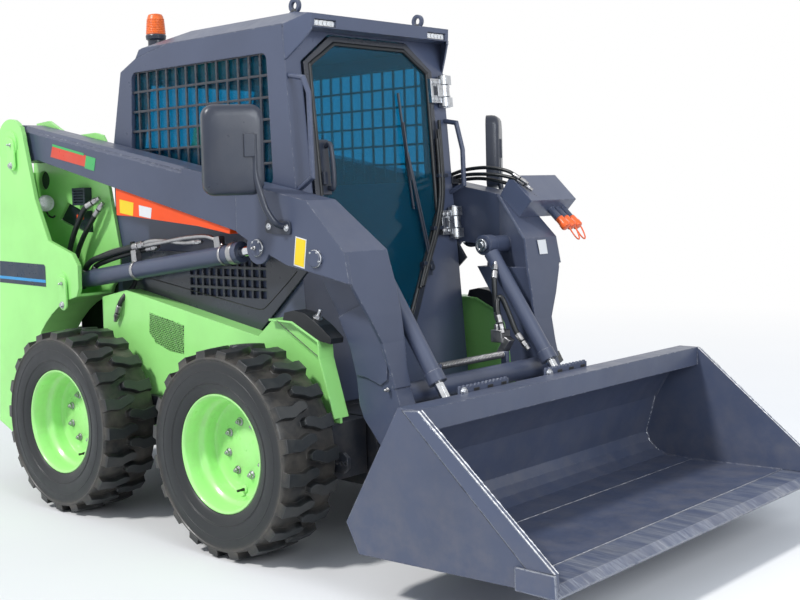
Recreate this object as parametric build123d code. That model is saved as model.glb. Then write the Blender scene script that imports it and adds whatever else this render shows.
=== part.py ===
from build123d import *
import math
import os

# Compact skid steer loader, one STEP file per piece.
#
# Millimetres, +X forward to the bucket, +Y to the machine's left, +Z up, ground at z = 0.
# The model is laid out about the rear axle and moved by ORIGIN_X when it is written, so
# that the origin lies under the middle of the machine.
# Side profiles are (x, z) points. Right-hand pieces are made first and mirrored.

# ---- driving dimensions ---------------------------------------------------------------
WHEELBASE = 1062
TYRE_RADIUS = 392  # over the lugs, axle height with it
TYRE_WIDTH = 264
TYRE_MIDDLE_Y = 750
CAB_HALF_WIDTH = 478
TOWER_INNER_Y = 480  # inner face of a tower's inner plate
ARM_INNER_Y = 502  # inner face of the arm's beam
ARM_OUTER_Y = 640  # outer face of the arm's beam
BUCKET_HALF_WIDTH = 894
REAR_FACE_X = -809  # rearmost edge of the towers
BUCKET_LIP_X = 2547  # foremost edge of the bucket
ORIGIN_X = (REAR_FACE_X + BUCKET_LIP_X) / 2
AXLE_Z = TYRE_RADIUS
AXLES_X = {"rear": 0, "front": WHEELBASE}

# ---- pins of the loader linkage, in the side view -------------------------------------
ARM_PIVOT = (-600, 1612)
LIFT_BASE = (-215, 975)
LIFT_ROD_PIN = (1079, 1141)
TILT_BASE = (1385, 1106)
HITCH_PIVOT = (1690, 335)
TILT_ROD_PIN = (1770, 520)
LIFT_CYLINDER_Y = 590
TILT_CYLINDER_Y = 353
MOVING_GAP = 6  # free room beside a moving piece
PIN_GAP = 1  # radial play drawn at a pin
EYE_SIDE_GAP = 2  # play beside a cylinder's eye
RUNNING_GAP = 0.4  # radial play of shafts and hinge pins
SEAT_GAP = 0.3  # between pieces that rest on each other


# ---- helpers ---------------------------------------------------------------------------
def side_plate(points, y_low, y_high, radii=0):
    """Side profile of (x, z) points, y_high - y_low thick."""
    wire = FilletPolyline(*points, radius=radii, close=True) if radii else Polyline(*points, close=True)
    profile = Plane.XZ.offset(-y_high) * make_face(wire)
    return extrude(profile, amount=y_high - y_low)


def front_plate(points, x_low, x_high):
    """Front profile of (y, z) points from x_low to x_high."""
    profile = Plane.YZ.offset(x_low) * make_face(Polyline(*points, close=True))
    return extrude(profile, amount=x_high - x_low)


def plan_plate(points, z_low, z_high):
    """Plan profile of (x, y) points from z_low to z_high."""
    profile = Plane.XY.offset(z_low) * make_face(Polyline(*points, close=True))
    return extrude(profile, amount=z_high - z_low)


def block(x_low, x_high, y_low, y_high, z_low, z_high):
    centre = ((x_low + x_high) / 2, (y_low + y_high) / 2, (z_low + z_high) / 2)
    return Pos(*centre) * Box(x_high - x_low, y_high - y_low, z_high - z_low)


def cross_bar(centre, radius, y_low, y_high):
    """Round bar along Y at the side-view point centre."""
    middle = (centre[0], (y_low + y_high) / 2, centre[1])
    return Pos(*middle) * Rot(90, 0, 0) * Cylinder(radius, y_high - y_low)


def rod_between(start, end, radius):
    """Round bar from one 3-D point to another."""
    line = Line(start, end)
    section = Plane(origin=start, z_dir=Vector(*end) - Vector(*start)) * Circle(radius)
    return extrude(section, amount=line.length)


def strip(points, thickness, y_low, y_high):
    """Sheet of one thickness that follows the side-view points, on their left side."""
    left = []
    count = len(points)
    for index in range(count):
        before = points[max(index - 1, 0)]
        here = points[index]
        after = points[min(index + 1, count - 1)]
        normals = []
        for first, second in ((before, here), (here, after)):
            run = math.dist(first, second)
            if run:
                normals.append(((first[1] - second[1]) / run, (second[0] - first[0]) / run))
        nx = sum(n[0] for n in normals) / len(normals)
        nz = sum(n[1] for n in normals) / len(normals)
        scale = thickness / (nx * nx + nz * nz)
        left.append((here[0] + nx * scale, here[1] + nz * scale))
    return side_plate(list(points) + left[::-1], y_low, y_high)


def solid_of(rings, closed):
    """Solid with flat sides from rings of points. A closed one joins its last ring to its first."""
    faces = []
    pairs = list(zip(rings, rings[1:]))
    if closed:
        pairs.append((rings[-1], rings[0]))
    else:
        faces.append(Face(Wire.make_polygon(rings[0], close=True)))
        faces.append(Face(Wire.make_polygon(rings[-1], close=True)))
    for low, high in pairs:
        for index in range(len(low)):
            after = (index + 1) % len(low)
            corners = [low[index], low[after], high[after], high[index]]
            faces.append(Face(Wire.make_polygon(corners, close=True)))
    return Solid(Shell(faces))


def turned(profile, facets):
    """Ring about the Y axis with flat facets, a facet lowest, from (y, radius) corners."""
    rings = []
    for y, radius in profile:
        ring = []
        for index in range(facets):
            angle = math.tau * (index + 0.5) / facets
            ring.append(Vector(radius * math.sin(angle), y, radius * math.cos(angle)))
        rings.append(ring)
    return solid_of(rings, True)


def bent_bar(points, radius, sides=8):
    """Bar with flat sides and mitred bends through 3-D points."""
    points = [Vector(*point) for point in points]
    first = (points[1] - points[0]).normalized()
    start = Plane(origin=points[0], z_dir=first)
    ring = []
    for index in range(sides):
        angle = math.tau * (index + 0.5) / sides
        ring.append(start.from_local_coords(Vector(radius * math.cos(angle), radius * math.sin(angle), 0)))
    rings = [ring]
    for index in range(1, len(points)):
        run = (points[index] - points[index - 1]).normalized()
        after = points[min(index + 1, len(points) - 1)] - points[index]
        cut = run + after.normalized() if after.length else run
        moved = []
        for corner in rings[-1]:
            reach = (points[index] - corner).dot(cut) / run.dot(cut)
            moved.append(corner + run * reach)
        rings.append(moved)
    return solid_of(rings, False)


def aim(solid, start, end, y_middle):
    """Turns a piece made along +X from the origin so that it points from start to end."""
    angle = math.degrees(math.atan2(end[1] - start[1], end[0] - start[0]))
    return Pos(start[0], y_middle, start[1]) * Rot(0, -angle, 0) * solid


def left_of(solid):
    return mirror(solid, about=Plane.XZ)


# ---- wheels ----------------------------------------------------------------------------
RIM_FLANGE_RADIUS = 222
RIM_SEAT_RADIUS = 208
RIM_WELL_RADIUS = 184
RIM_DISH = 70  # slope from the flange to the well
RIM_OUTER_Y = 860
RIM_INNER_Y = 2 * TYRE_MIDDLE_Y - RIM_OUTER_Y
RIM_SHEET = 7
DISC_Y = 716
DISC_THICKNESS = 12
HUB_RADIUS = 74
HUB_FACE_Y = 764
HUB_FACETS = 16
AXLE_SHAFT_RADIUS = 38
AXLE_SHAFT_END_Y = 612
AXLE_HOUSING_RADIUS = 78
AXLE_HOUSING_FACE_Y = 642
BOLT_CIRCLE_RADIUS = 102
BOLT_COUNT = 8
BOLT_SIZE = 13
BOLT_HEIGHT = 13
BEAD_PLAY = 0.5
WHEEL_FACETS = 32
TREAD_RADIUS = 366  # between the lugs
TYRE_SHOULDER_DEPTH = 17
TYRE_SHOULDER_WIDTH = 12
LUG_ROOT_RADIUS = 356
# corners of a lug: (distance outward from the tyre's middle, distance round the tread)
LUG_OUTLINE = [(126, -26), (62, -15), (-16, -27), (-16, 12), (126, 26)]


def tyre():
    """Closed ring with flat facets around, and two staggered rows of bent lugs."""
    half = TYRE_WIDTH / 2
    bead = RIM_OUTER_Y - TYRE_MIDDLE_Y - RIM_SHEET - BEAD_PLAY
    seat = RIM_SEAT_RADIUS + BEAD_PLAY
    flange = RIM_FLANGE_RADIUS + 3
    facet = math.cos(math.pi / WHEEL_FACETS)
    tread = TREAD_RADIUS / facet
    shoulder = tread - TYRE_SHOULDER_DEPTH
    crown = half - TYRE_SHOULDER_WIDTH
    outer = [(half, flange), (half, shoulder), (crown, tread)]
    inner = [(bead, flange), (bead, seat)]
    profile = inner[::-1] + outer
    profile += [(-y, radius) for y, radius in profile[::-1]]
    ring = turned(profile, WHEEL_FACETS)
    for index in range(WHEEL_FACETS):
        row = 1 if index % 2 else -1
        corners = [(around, row * across) for across, around in LUG_OUTLINE]
        sketch = Plane.XY.offset(LUG_ROOT_RADIUS) * make_face(Polyline(*corners, close=True))
        lug = extrude(sketch, amount=TYRE_RADIUS - LUG_ROOT_RADIUS, dir=(0, 0, 1))
        ring += Rot(0, 360 * index / WHEEL_FACETS, 0) * lug
    return ring


def rim_section():
    """Barrel of the rim, in (distance outward from the wheel's middle, radius)."""
    outer = RIM_OUTER_Y - TYRE_MIDDLE_Y
    sheet = RIM_SHEET
    return [
        (-outer, RIM_FLANGE_RADIUS),
        (sheet - outer, RIM_FLANGE_RADIUS),
        (sheet - outer, RIM_SEAT_RADIUS),
        (outer - sheet, RIM_SEAT_RADIUS),
        (outer - sheet, RIM_FLANGE_RADIUS),
        (outer, RIM_FLANGE_RADIUS),
        (outer, RIM_SEAT_RADIUS - sheet),
        (outer - RIM_DISH, RIM_WELL_RADIUS),
        (-outer, RIM_WELL_RADIUS),
    ]


def rim():
    """Wheel disc, barrel and hub with its shaft, outward side toward -Y at y = 0."""
    barrel = turned(rim_section(), WHEEL_FACETS)
    disc_low = DISC_Y - TYRE_MIDDLE_Y
    disc_high = disc_low + DISC_THICKNESS
    hub_face = HUB_FACE_Y - TYRE_MIDDLE_Y
    shaft_end = AXLE_SHAFT_END_Y - TYRE_MIDDLE_Y
    plate = RegularPolygon(RIM_WELL_RADIUS + 2, WHEEL_FACETS, rotation=180 / WHEEL_FACETS)
    disc = extrude(Plane.XZ.offset(-disc_high) * plate, amount=DISC_THICKNESS)
    wheel = barrel + disc
    hub = Plane.XZ.offset(-hub_face) * RegularPolygon(HUB_RADIUS, HUB_FACETS)
    wheel += extrude(hub, amount=hub_face - disc_high)
    wheel += cross_bar((0, 0), AXLE_SHAFT_RADIUS, shaft_end, disc_low)
    for index in range(BOLT_COUNT):
        angle = math.radians(360 * index / BOLT_COUNT)
        place = (BOLT_CIRCLE_RADIUS * math.cos(angle), disc_high, BOLT_CIRCLE_RADIUS * math.sin(angle))
        bolt = extrude(Plane.XZ * RegularPolygon(BOLT_SIZE, 6), amount=-BOLT_HEIGHT)
        wheel += Pos(*place) * bolt
    return mirror(wheel, about=Plane.XZ)


# ---- lower frame -----------------------------------------------------------------------
FRAME_BOTTOM_Z = 235
TUB_TOP_Z = 520
TUB_HALF_WIDTH = 420
TUB_REAR_X = -440
TUB_FRONT_X = 1165
TUB_SHEET = 10
CHAIN_CASE_OUTER_Y = 600
CHAIN_CASE_BOTTOM_Z = 290
CHAIN_CASE_TOP_Z = 500
CHAIN_CASE_FRONT_X = 1390
STEP_HALF_WIDTH = 405
STEP_FRONT_X = 1430
STEP_TOP_Z = 500
REAR_BOX_TOP_Z = 600


def lower_frame():
    tub = block(TUB_REAR_X, TUB_FRONT_X, -TUB_HALF_WIDTH, TUB_HALF_WIDTH, FRAME_BOTTOM_Z, TUB_TOP_Z)
    tub -= block(
        TUB_REAR_X + TUB_SHEET,
        TUB_FRONT_X - TUB_SHEET,
        TUB_SHEET - TUB_HALF_WIDTH,
        TUB_HALF_WIDTH - TUB_SHEET,
        FRAME_BOTTOM_Z + TUB_SHEET,
        TUB_TOP_Z,
    )
    step = [
        (TUB_FRONT_X, FRAME_BOTTOM_Z),
        (STEP_FRONT_X - 60, FRAME_BOTTOM_Z),
        (STEP_FRONT_X, FRAME_BOTTOM_Z + 60),
        (STEP_FRONT_X, STEP_TOP_Z - 40),
        (STEP_FRONT_X - 40, STEP_TOP_Z),
        (TUB_FRONT_X, STEP_TOP_Z),
    ]
    frame = tub + side_plate(step, -STEP_HALF_WIDTH, STEP_HALF_WIDTH)
    rear_box = [
        (TUB_REAR_X, FRAME_BOTTOM_Z),
        (-640, FRAME_BOTTOM_Z),
        (-738, FRAME_BOTTOM_Z + 50),
        (-738, REAR_BOX_TOP_Z),
        (TUB_REAR_X, REAR_BOX_TOP_Z),
    ]
    frame += side_plate(rear_box, -TOWER_INNER_Y, TOWER_INNER_Y)
    for side in (-1, 1):
        low, high = sorted((side * TUB_HALF_WIDTH, side * CHAIN_CASE_OUTER_Y))
        case = block(TUB_REAR_X, CHAIN_CASE_FRONT_X, low, high, CHAIN_CASE_BOTTOM_Z, CHAIN_CASE_TOP_Z)
        for axle_x in AXLES_X.values():
            centre = (axle_x, AXLE_Z)
            low, high = sorted((side * CHAIN_CASE_OUTER_Y, side * AXLE_HOUSING_FACE_Y))
            case += cross_bar(centre, AXLE_HOUSING_RADIUS, low, high)
            low, high = sorted((side * (AXLE_SHAFT_END_Y - 10), side * (AXLE_HOUSING_FACE_Y + 1)))
            case -= cross_bar(centre, AXLE_SHAFT_RADIUS + RUNNING_GAP, low, high)
        frame += case
    return frame


TIE_DOWN_Y = 585
TIE_DOWN_THICKNESS = 15


def tie_downs():
    """Flat lashing plates with three holes, one each side at the front."""
    plate = side_plate(
        [(1390, 325), (1440, 325), (1462, 345), (1462, 385), (1440, 400), (1390, 400)],
        -TIE_DOWN_Y - TIE_DOWN_THICKNESS,
        -TIE_DOWN_Y,
    )
    for hole_x in (1408, 1430, 1450):
        plate -= cross_bar((hole_x, 362), 8, -TIE_DOWN_Y - 20, -TIE_DOWN_Y + 5)
    return Compound(children=[plate, left_of(plate)])


BUMPER_BOTTOM_Z = 300
BUMPER_TOP_Z = 590
BUMPER_FRONT_X = -738


def rear_line_x(z):
    """Rear face of the machine, which leans forward with height."""
    return REAR_FACE_X + (z - 280) * (-692 - REAR_FACE_X) / (1636 - 280)


def rear_bumper():
    profile = [
        (BUMPER_FRONT_X, BUMPER_BOTTOM_Z),
        (rear_line_x(BUMPER_BOTTOM_Z), BUMPER_BOTTOM_Z),
        (rear_line_x(BUMPER_TOP_Z), BUMPER_TOP_Z),
        (BUMPER_FRONT_X, BUMPER_TOP_Z),
    ]
    return side_plate(profile, -TOWER_INNER_Y, TOWER_INNER_Y)


def engine_block():
    return block(-640, -150, -300, 300, REAR_BOX_TOP_Z, 1010) - block(
        TUB_REAR_X, 0, -301, 301, 0, REAR_BOX_TOP_Z
    )


# ---- towers ----------------------------------------------------------------------------
TOWER_INNER_SHEET = 16
TOWER_OUTER_Y = 660
TOWER_OUTER_SHEET = 20
TOWER_ROUND = 115
TOWER_WEB = 12
ARCH_RADIUS = 530
ARM_PIN_RADIUS = 32
LIFT_PIN_RADIUS = 26
LIFT_BOSS_RADIUS = 34
EYE_WIDTH = 50


def arch_points(radius):
    """Wheel arch over the rear axle, from the tower's front down to its foot."""
    points = []
    for degrees in (101, 109, 117, 125, 133, 139):
        angle = math.radians(degrees)
        points.append((radius * math.cos(angle), AXLE_Z + radius * math.sin(angle)))
    return points


def tower_foot():
    return [(-470, 600), (-480, 330), (-649, 220), (REAR_FACE_X, 280)]


def tower_right():
    outer_high = -TOWER_OUTER_Y
    outer_low = outer_high - TOWER_OUTER_SHEET
    inner_high = -TOWER_INNER_Y
    inner_low = inner_high - TOWER_INNER_SHEET
    outer_profile = (
        [(-505, 1689), (-407, 1347), (-311, 1159), (-125, 1102), (-83, 1050), (-85, 946)]
        + arch_points(ARCH_RADIUS)
        + tower_foot()
        + [(rear_line_x(1580), 1580)]
    )
    outer = side_plate(outer_profile, outer_low, outer_high)
    outer += cross_bar(ARM_PIVOT, TOWER_ROUND, outer_low, outer_high)
    inner_profile = (
        [(-553, 1721), (-421, 1657), (-323, 1641), (-178, 1644), (-124, 1631), (-103, 1601)]
        + [(-86, 1395), (-20, 1120), (-20, 1000), (-85, 946)]
        + arch_points(ARCH_RADIUS)
        + tower_foot()
        + [(rear_line_x(1600), 1600), (-660, 1715)]
    )
    inner = side_plate(inner_profile, inner_low, inner_high)
    inner -= cross_bar((-614, 1440), 45, inner_low - 1, inner_high + 1)
    inner -= side_plate(
        [(-500, 1250), (-300, 1190), (-220, 1190), (-220, 1290), (-300, 1290), (-420, 1330)],
        inner_low - 1,
        inner_high + 1,
    )
    back = strip(
        [(rear_line_x(1480), 1480), (REAR_FACE_X, 280)], TOWER_WEB, outer_high, inner_low
    )
    arch = strip(
        [(-480, 330), (-470, 600)] + arch_points(ARCH_RADIUS)[::-1],
        TOWER_WEB,
        outer_high,
        inner_low,
    )
    tower = outer + inner + back + arch
    tower += cross_bar(ARM_PIVOT, ARM_PIN_RADIUS, outer_low - 14, inner_low)
    tower += cross_bar(ARM_PIVOT, 62, outer_low - 8, outer_low)
    tower += cross_bar(LIFT_BASE, LIFT_PIN_RADIUS, outer_low - 12, inner_low)
    tower += cross_bar(LIFT_BASE, 46, outer_low - 6, outer_low)
    eye_outer = -LIFT_CYLINDER_Y - EYE_WIDTH / 2 - EYE_SIDE_GAP
    eye_inner = -LIFT_CYLINDER_Y + EYE_WIDTH / 2 + EYE_SIDE_GAP
    tower += cross_bar(LIFT_BASE, LIFT_BOSS_RADIUS, outer_high, eye_outer)
    tower += cross_bar(LIFT_BASE, LIFT_BOSS_RADIUS, eye_inner, inner_low)
    hood_pin_end = HOOD_SHEET - COVER_HALF_WIDTH
    tower += cross_bar(HOOD_PIN, HOOD_PIN_RADIUS, inner_high, hood_pin_end)
    return tower


def work_lamps():
    """Round lamps in the tower windows, on the inner plates."""
    face = -TOWER_INNER_Y - TOWER_INNER_SHEET
    lamp = cross_bar((-555, 1330), 26, face - 30, face)
    lamp += Pos(-548, face - 44, 1330) * Rot(0, 90, 0) * Cylinder(40, 46)
    return Compound(children=[lamp, left_of(lamp)])


def vent_boxes():
    """Louvred boxes on the towers' inner plates, just behind the cab."""
    face = -TOWER_INNER_Y - TOWER_INNER_SHEET
    box = block(-323, -223, face - 40, face, 1316, 1396)
    for index in range(5):
        low = 1326 + 13 * index
        box -= block(-313, -233, face - 41, face - 28, low, low + 7)
    return Compound(children=[box, left_of(box)])


# ---- body sides ------------------------------------------------------------------------
BODY_SIDE_Y = 560
BODY_SIDE_SHEET = 12
FENDER_INNER_Y = 526
FENDER_SHEET = 8
SIDE_PANEL_Y = 482
SIDE_PANEL_SHEET = 12
SIDE_PANEL_TOP_Z = 1110
VENT_REAR_X = 290
VENT_TOP_Z = 838
VENT_FALL = 0.17
VENT_PITCH = 34
VENT_ROWS = 4
VENT_COLUMNS = 6
VENT_HOLE_RADIUS = 13
FENDER_LINE = [(1404, CHAIN_CASE_TOP_Z + 20), (1335, 736), (1330, 800), (1190, 865), (1066, 868)]


def body_side_right():
    """Green side skin over the chain case, with the front fender on its end."""
    low = -BODY_SIDE_Y - BODY_SIDE_SHEET
    high = -BODY_SIDE_Y
    skin_profile = [(-60, CHAIN_CASE_TOP_Z), (-60, 905), (120, 942), (973, 793)]
    skin_profile += FENDER_LINE[::-1] + [(1404, CHAIN_CASE_TOP_Z)]
    skin = side_plate(skin_profile, low, high)
    for row in range(VENT_ROWS):
        for column in range(VENT_COLUMNS):
            x = VENT_REAR_X + VENT_PITCH * (column + 0.5 * (row % 2) + 0.5)
            z = VENT_TOP_Z - VENT_PITCH * row - (x - VENT_REAR_X) * VENT_FALL
            hole = Plane.XZ.offset(-high - 1) * Pos(x, z) * RegularPolygon(VENT_HOLE_RADIUS, 4)
            skin -= extrude(hole, amount=BODY_SIDE_SHEET + 2)
    ledge = strip([(973, 793), (120, 942)], 6, high, -SIDE_PANEL_Y - SIDE_PANEL_SHEET)
    cover = strip(FENDER_LINE, FENDER_SHEET, -CHAIN_CASE_OUTER_Y, -FENDER_INNER_Y)
    return skin + ledge + cover


def side_panel_right():
    """Dark panel below the cab with a slotted grille behind the lift cylinder."""
    low = -SIDE_PANEL_Y - SIDE_PANEL_SHEET
    high = -SIDE_PANEL_Y
    profile = [(-12, 936), (895, 796), (1172, 1042), (1126, SIDE_PANEL_TOP_Z)]
    panel = side_plate(profile + [(-12, SIDE_PANEL_TOP_Z)], low, high)
    panel += block(-12, 1080, low, -CAB_HALF_WIDTH, SIDE_PANEL_TOP_Z - 6, SIDE_PANEL_TOP_Z)
    for row in range(4):
        for column in range(11):
            x = 470 + 44 * column
            z = 930 + 42 * row
            panel -= block(x, x + 34, low - 1, high + 1, z, z + 30)
    return panel


def stop_pads():
    """Rubber rests for the lowered arms, on the fenders."""
    profile = [(1140, 868), (1190, 865), (1330, 800), (1388, 792), (1392, 812), (1334, 856)]
    profile += [(1256, 898), (1200, 906), (1150, 896)]
    pad = side_plate(profile, -596, -530)
    return Compound(children=[pad, left_of(pad)])


# ---- cab -------------------------------------------------------------------------------
CAB_WALL = 40
CAB_BOTTOM_Z = TUB_TOP_Z
CAB_TOP_Z = 1990
CAB_REAR_X = -66
DOOR_TOP_Z = 1960
DOOR_PROUD = 10
DOOR_THICKNESS = 30
DOOR_GAP = 6
DOOR_BORDER = 30
DOOR_GLASS = 8
LEAN = 86 / 1050  # forward slope of the cab's front, per unit of height
WINDOW = (62, 985, 1377, 1890)
GLASS_Y = 452
GLASS_THICKNESS = 6
GUARD_Y = 464
GUARD_BAR = 7


def cab_front_x(z):
    return 1069 + (1850 - z) * LEAN


def front_frame(proud):
    """Plane of the cab's front, proud of the pillars, X across and Y up the slope."""
    lean = math.atan(LEAN)
    outward = (math.cos(lean), 0, math.sin(lean))
    origin = (cab_front_x(800) + proud * outward[0], 0, 800 + proud * outward[2])
    return Plane(origin=origin, x_dir=(0, 1, 0), z_dir=outward)


def up_slope(z):
    return (z - 800) * math.hypot(1, LEAN)


def door_face():
    half = [(150, 790), (380, 1230), (387, 1850), (229, DOOR_TOP_Z)]
    points = [(y, up_slope(z)) for y, z in half] + [(-y, up_slope(z)) for y, z in half[::-1]]
    return make_face(Polyline(*points, close=True))


def cab_frame():
    outline = [
        (CAB_REAR_X, CAB_BOTTOM_Z),
        (CAB_REAR_X, 1561),
        (11, 1900),
        (124, 1950),
        (340, CAB_TOP_Z),
        (cab_front_x(CAB_TOP_Z), CAB_TOP_Z),
        (cab_front_x(CAB_BOTTOM_Z), CAB_BOTTOM_Z),
    ]
    hollow = [
        (CAB_REAR_X + CAB_WALL, CAB_BOTTOM_Z + CAB_WALL),
        (CAB_REAR_X + CAB_WALL, 1557),
        (46, 1872),
        (132, 1910),
        (348, CAB_TOP_Z - CAB_WALL),
        (cab_front_x(CAB_TOP_Z) - CAB_WALL, CAB_TOP_Z - CAB_WALL),
        (cab_front_x(CAB_BOTTOM_Z) - CAB_WALL, CAB_BOTTOM_Z + CAB_WALL),
    ]
    frame = side_plate(outline, -CAB_HALF_WIDTH, CAB_HALF_WIDTH)
    frame -= side_plate(hollow, CAB_WALL - CAB_HALF_WIDTH, CAB_HALF_WIDTH - CAB_WALL)
    rear, front, bottom, top = WINDOW
    window = [(rear, bottom), (rear + 30, top), (front - 20, top), (front, bottom)]
    frame -= side_plate(window, -CAB_HALF_WIDTH - 1, CAB_HALF_WIDTH + 1, radii=30)
    opening = front_frame(20) * offset(door_face(), amount=DOOR_GAP)
    frame -= extrude(opening, amount=-90)
    frame -= block(CAB_REAR_X - 40, 60, -330, 330, 1570, 1850)
    return frame


ROOF_TOP_Z = 2042
VISOR_X = 1157
VISOR_BOTTOM_Z = 1975
EYE_RING_RADIUS = 22
EYE_WIRE_RADIUS = 7
LAMP_INNER_Y = 276
LAMP_OUTER_Y = 396
LAMP_FACE_X = 1146
LAMP_BACK_X = 1120
LAMP_BOTTOM_Z = 1979
LAMP_TOP_Z = 2006


def cab_roof():
    front_x = cab_front_x(CAB_TOP_Z)
    profile = [
        (124, 1950),
        (340, CAB_TOP_Z),
        (front_x, CAB_TOP_Z),
        (front_x + 8, VISOR_BOTTOM_Z),
        (VISOR_X - 6, VISOR_BOTTOM_Z),
        (VISOR_X, ROOF_TOP_Z - 16),
        (VISOR_X - 100, ROOF_TOP_Z),
        (420, ROOF_TOP_Z),
        (150, 1985),
    ]
    roof = side_plate(profile, -CAB_HALF_WIDTH, CAB_HALF_WIDTH)
    for side in (-1, 1):
        slope = [(side * 480, 1950), (side * 480, 2100), (side * 400, 2100), (side * 400, ROOF_TOP_Z)]
        roof -= front_plate(slope + [(side * 479, 1990)], 0, VISOR_X + 10)
        corner = [(1060, side * 490), (1170, side * 490), (1170, side * 404), (1157, side * 412)]
        roof -= plan_plate(corner + [(1069, side * 478)], 1900, 2100)
        low, high = sorted((side * LAMP_INNER_Y, side * LAMP_OUTER_Y))
        roof -= block(LAMP_BACK_X, VISOR_X + 5, low, high, LAMP_BOTTOM_Z, LAMP_TOP_Z)
        ring_centre = (1023, ROOF_TOP_Z + EYE_RING_RADIUS + 8)
        low, high = side * 370 - EYE_WIRE_RADIUS, side * 370 + EYE_WIRE_RADIUS
        roof += cross_bar(ring_centre, EYE_RING_RADIUS + EYE_WIRE_RADIUS, low, high)
        roof -= cross_bar(ring_centre, EYE_RING_RADIUS - EYE_WIRE_RADIUS, low - 1, high + 1)
        roof += block(1007, 1039, side * 370 - 16, side * 370 + 16, ROOF_TOP_Z - 6, ROOF_TOP_Z + 6)
        roof += visor_cheek(side)
    return roof


CHEEK_FOOT_Z = 1850


def visor_cheek(side):
    """Slanted plate from the visor's corner down to the pillar, in front of it by a seat gap."""
    outline = [(1050, 478), (1069, 478), (1157, 412), (1151, 405), (1066, 470), (1050, 470)]
    plate = plan_plate([(x, side * y) for x, y in outline], CHEEK_FOOT_Z - 20, VISOR_BOTTOM_Z + 3)
    below = [(1000, 1700), (1000, CHEEK_FOOT_Z), (1066, CHEEK_FOOT_Z), (1120, 1915)]
    below += [(1151, 1962), (1170, 1962), (1170, 1700)]
    plate -= side_plate(below, -600, 600)
    behind = [(900, 1700), (cab_front_x(1700) + SEAT_GAP, 1700)]
    behind += [(cab_front_x(2100) + SEAT_GAP, 2100), (900, 2100)]
    return plate - side_plate(behind, -600, 600)


def roof_lamps():
    """Narrow lamps set in the visor's front, one each side."""
    lamp = block(LAMP_BACK_X, LAMP_FACE_X, -LAMP_OUTER_Y, -LAMP_INNER_Y, LAMP_BOTTOM_Z, LAMP_TOP_Z)
    return Compound(children=[lamp, left_of(lamp)])


def cab_glass():
    rear, front, bottom, top = WINDOW
    window = [(rear, bottom), (rear + 30, top), (front - 20, top), (front, bottom)]
    right = side_plate(window, -GLASS_Y - GLASS_THICKNESS, -GLASS_Y, radii=30)
    slope = (11 - CAB_REAR_X) / (1900 - 1561)
    at_low = CAB_REAR_X + (1570 - 1561) * slope
    at_high = CAB_REAR_X + (1850 - 1561) * slope
    rear_pane = side_plate(
        [(at_low + 16, 1570), (at_high + 16, 1850), (at_high + 22, 1850), (at_low + 22, 1570)],
        -330,
        330,
    )
    return Compound(children=[right, left_of(right), rear_pane])


def window_guards():
    """Welded bar grids outside the side windows."""
    rear, front, bottom, top = WINDOW
    low = -GUARD_Y - GUARD_BAR
    window = [(rear, bottom), (rear + 30, top), (front - 20, top), (front, bottom)]
    guard = side_plate(window, low, -GUARD_Y, radii=30)
    pitch_x = (front - rear) / 14
    pitch_z = (top - bottom) / 6
    for column in range(14):
        for row in range(6):
            x = rear + column * pitch_x
            z = bottom + row * pitch_z
            hole = block(x + 5, x + pitch_x - 5, low - 1, 1 - GUARD_Y, z + 5, z + pitch_z - 5)
            inside = rear + 25 < x + pitch_x / 2 and x + pitch_x / 2 < front - 20
            if inside:
                guard -= hole
    return Compound(children=[guard, left_of(guard)])


HINGE_Y = 440
HINGE_PROUD = 26
HINGE_HEIGHTS = (1197, 1765)
HINGE_LENGTH = 110
HINGE_RADIUS = 16
HINGE_PIN_RADIUS = 8
HINGE_KNUCKLE = 40


def hinge_axis_point(z):
    return (cab_front_x(z) + HINGE_PROUD, HINGE_Y, z)


def door_hinges():
    """Fixed halves of the door's hinges, on the left pillar."""
    halves = []
    for height in HINGE_HEIGHTS:
        place = front_frame(0) * Pos(HINGE_Y, up_slope(height), 0)
        half = place * Pos(14, 0, 4) * Box(42, HINGE_LENGTH, 8)
        half += place * Pos(0, 0, HINGE_PROUD) * Rot(90, 0, 0) * Cylinder(HINGE_PIN_RADIUS, HINGE_LENGTH)
        reach = (HINGE_LENGTH - HINGE_KNUCKLE) / 2 - 1
        for end in (-1, 1):
            middle = end * (HINGE_LENGTH - reach) / 2
            knuckle = Pos(0, middle, HINGE_PROUD) * Rot(90, 0, 0) * Cylinder(HINGE_RADIUS, reach)
            half += place * knuckle + place * Pos(8, middle, 15) * Box(16, reach, 22)
        halves.append(half)
    return Compound(children=halves)


def door_frame():
    face = door_face()
    outer = extrude(front_frame(DOOR_PROUD) * face, amount=-DOOR_THICKNESS)
    opening = extrude(front_frame(DOOR_PROUD + 5) * offset(face, amount=-DOOR_BORDER), amount=-60)
    frame = outer - opening
    for height in HINGE_HEIGHTS:
        place = front_frame(0) * Pos(HINGE_Y, up_slope(height), HINGE_PROUD)
        leaf_low = DOOR_PROUD - 2 - HINGE_PROUD
        leaf = place * Pos(-50, 0, (leaf_low + 7) / 2) * Box(50, HINGE_KNUCKLE, 7 - leaf_low)
        leaf += place * Pos(-22, 0, 0) * Box(34, HINGE_KNUCKLE, 14)
        leaf += place * Rot(90, 0, 0) * Cylinder(HINGE_RADIUS, HINGE_KNUCKLE)
        leaf -= place * Rot(90, 0, 0) * Cylinder(HINGE_PIN_RADIUS + RUNNING_GAP, HINGE_LENGTH)
        frame += leaf
    return frame


def door_glass():
    face = offset(door_face(), amount=-DOOR_BORDER)
    return extrude(front_frame(DOOR_PROUD - 6) * face, amount=-DOOR_GLASS)


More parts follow.
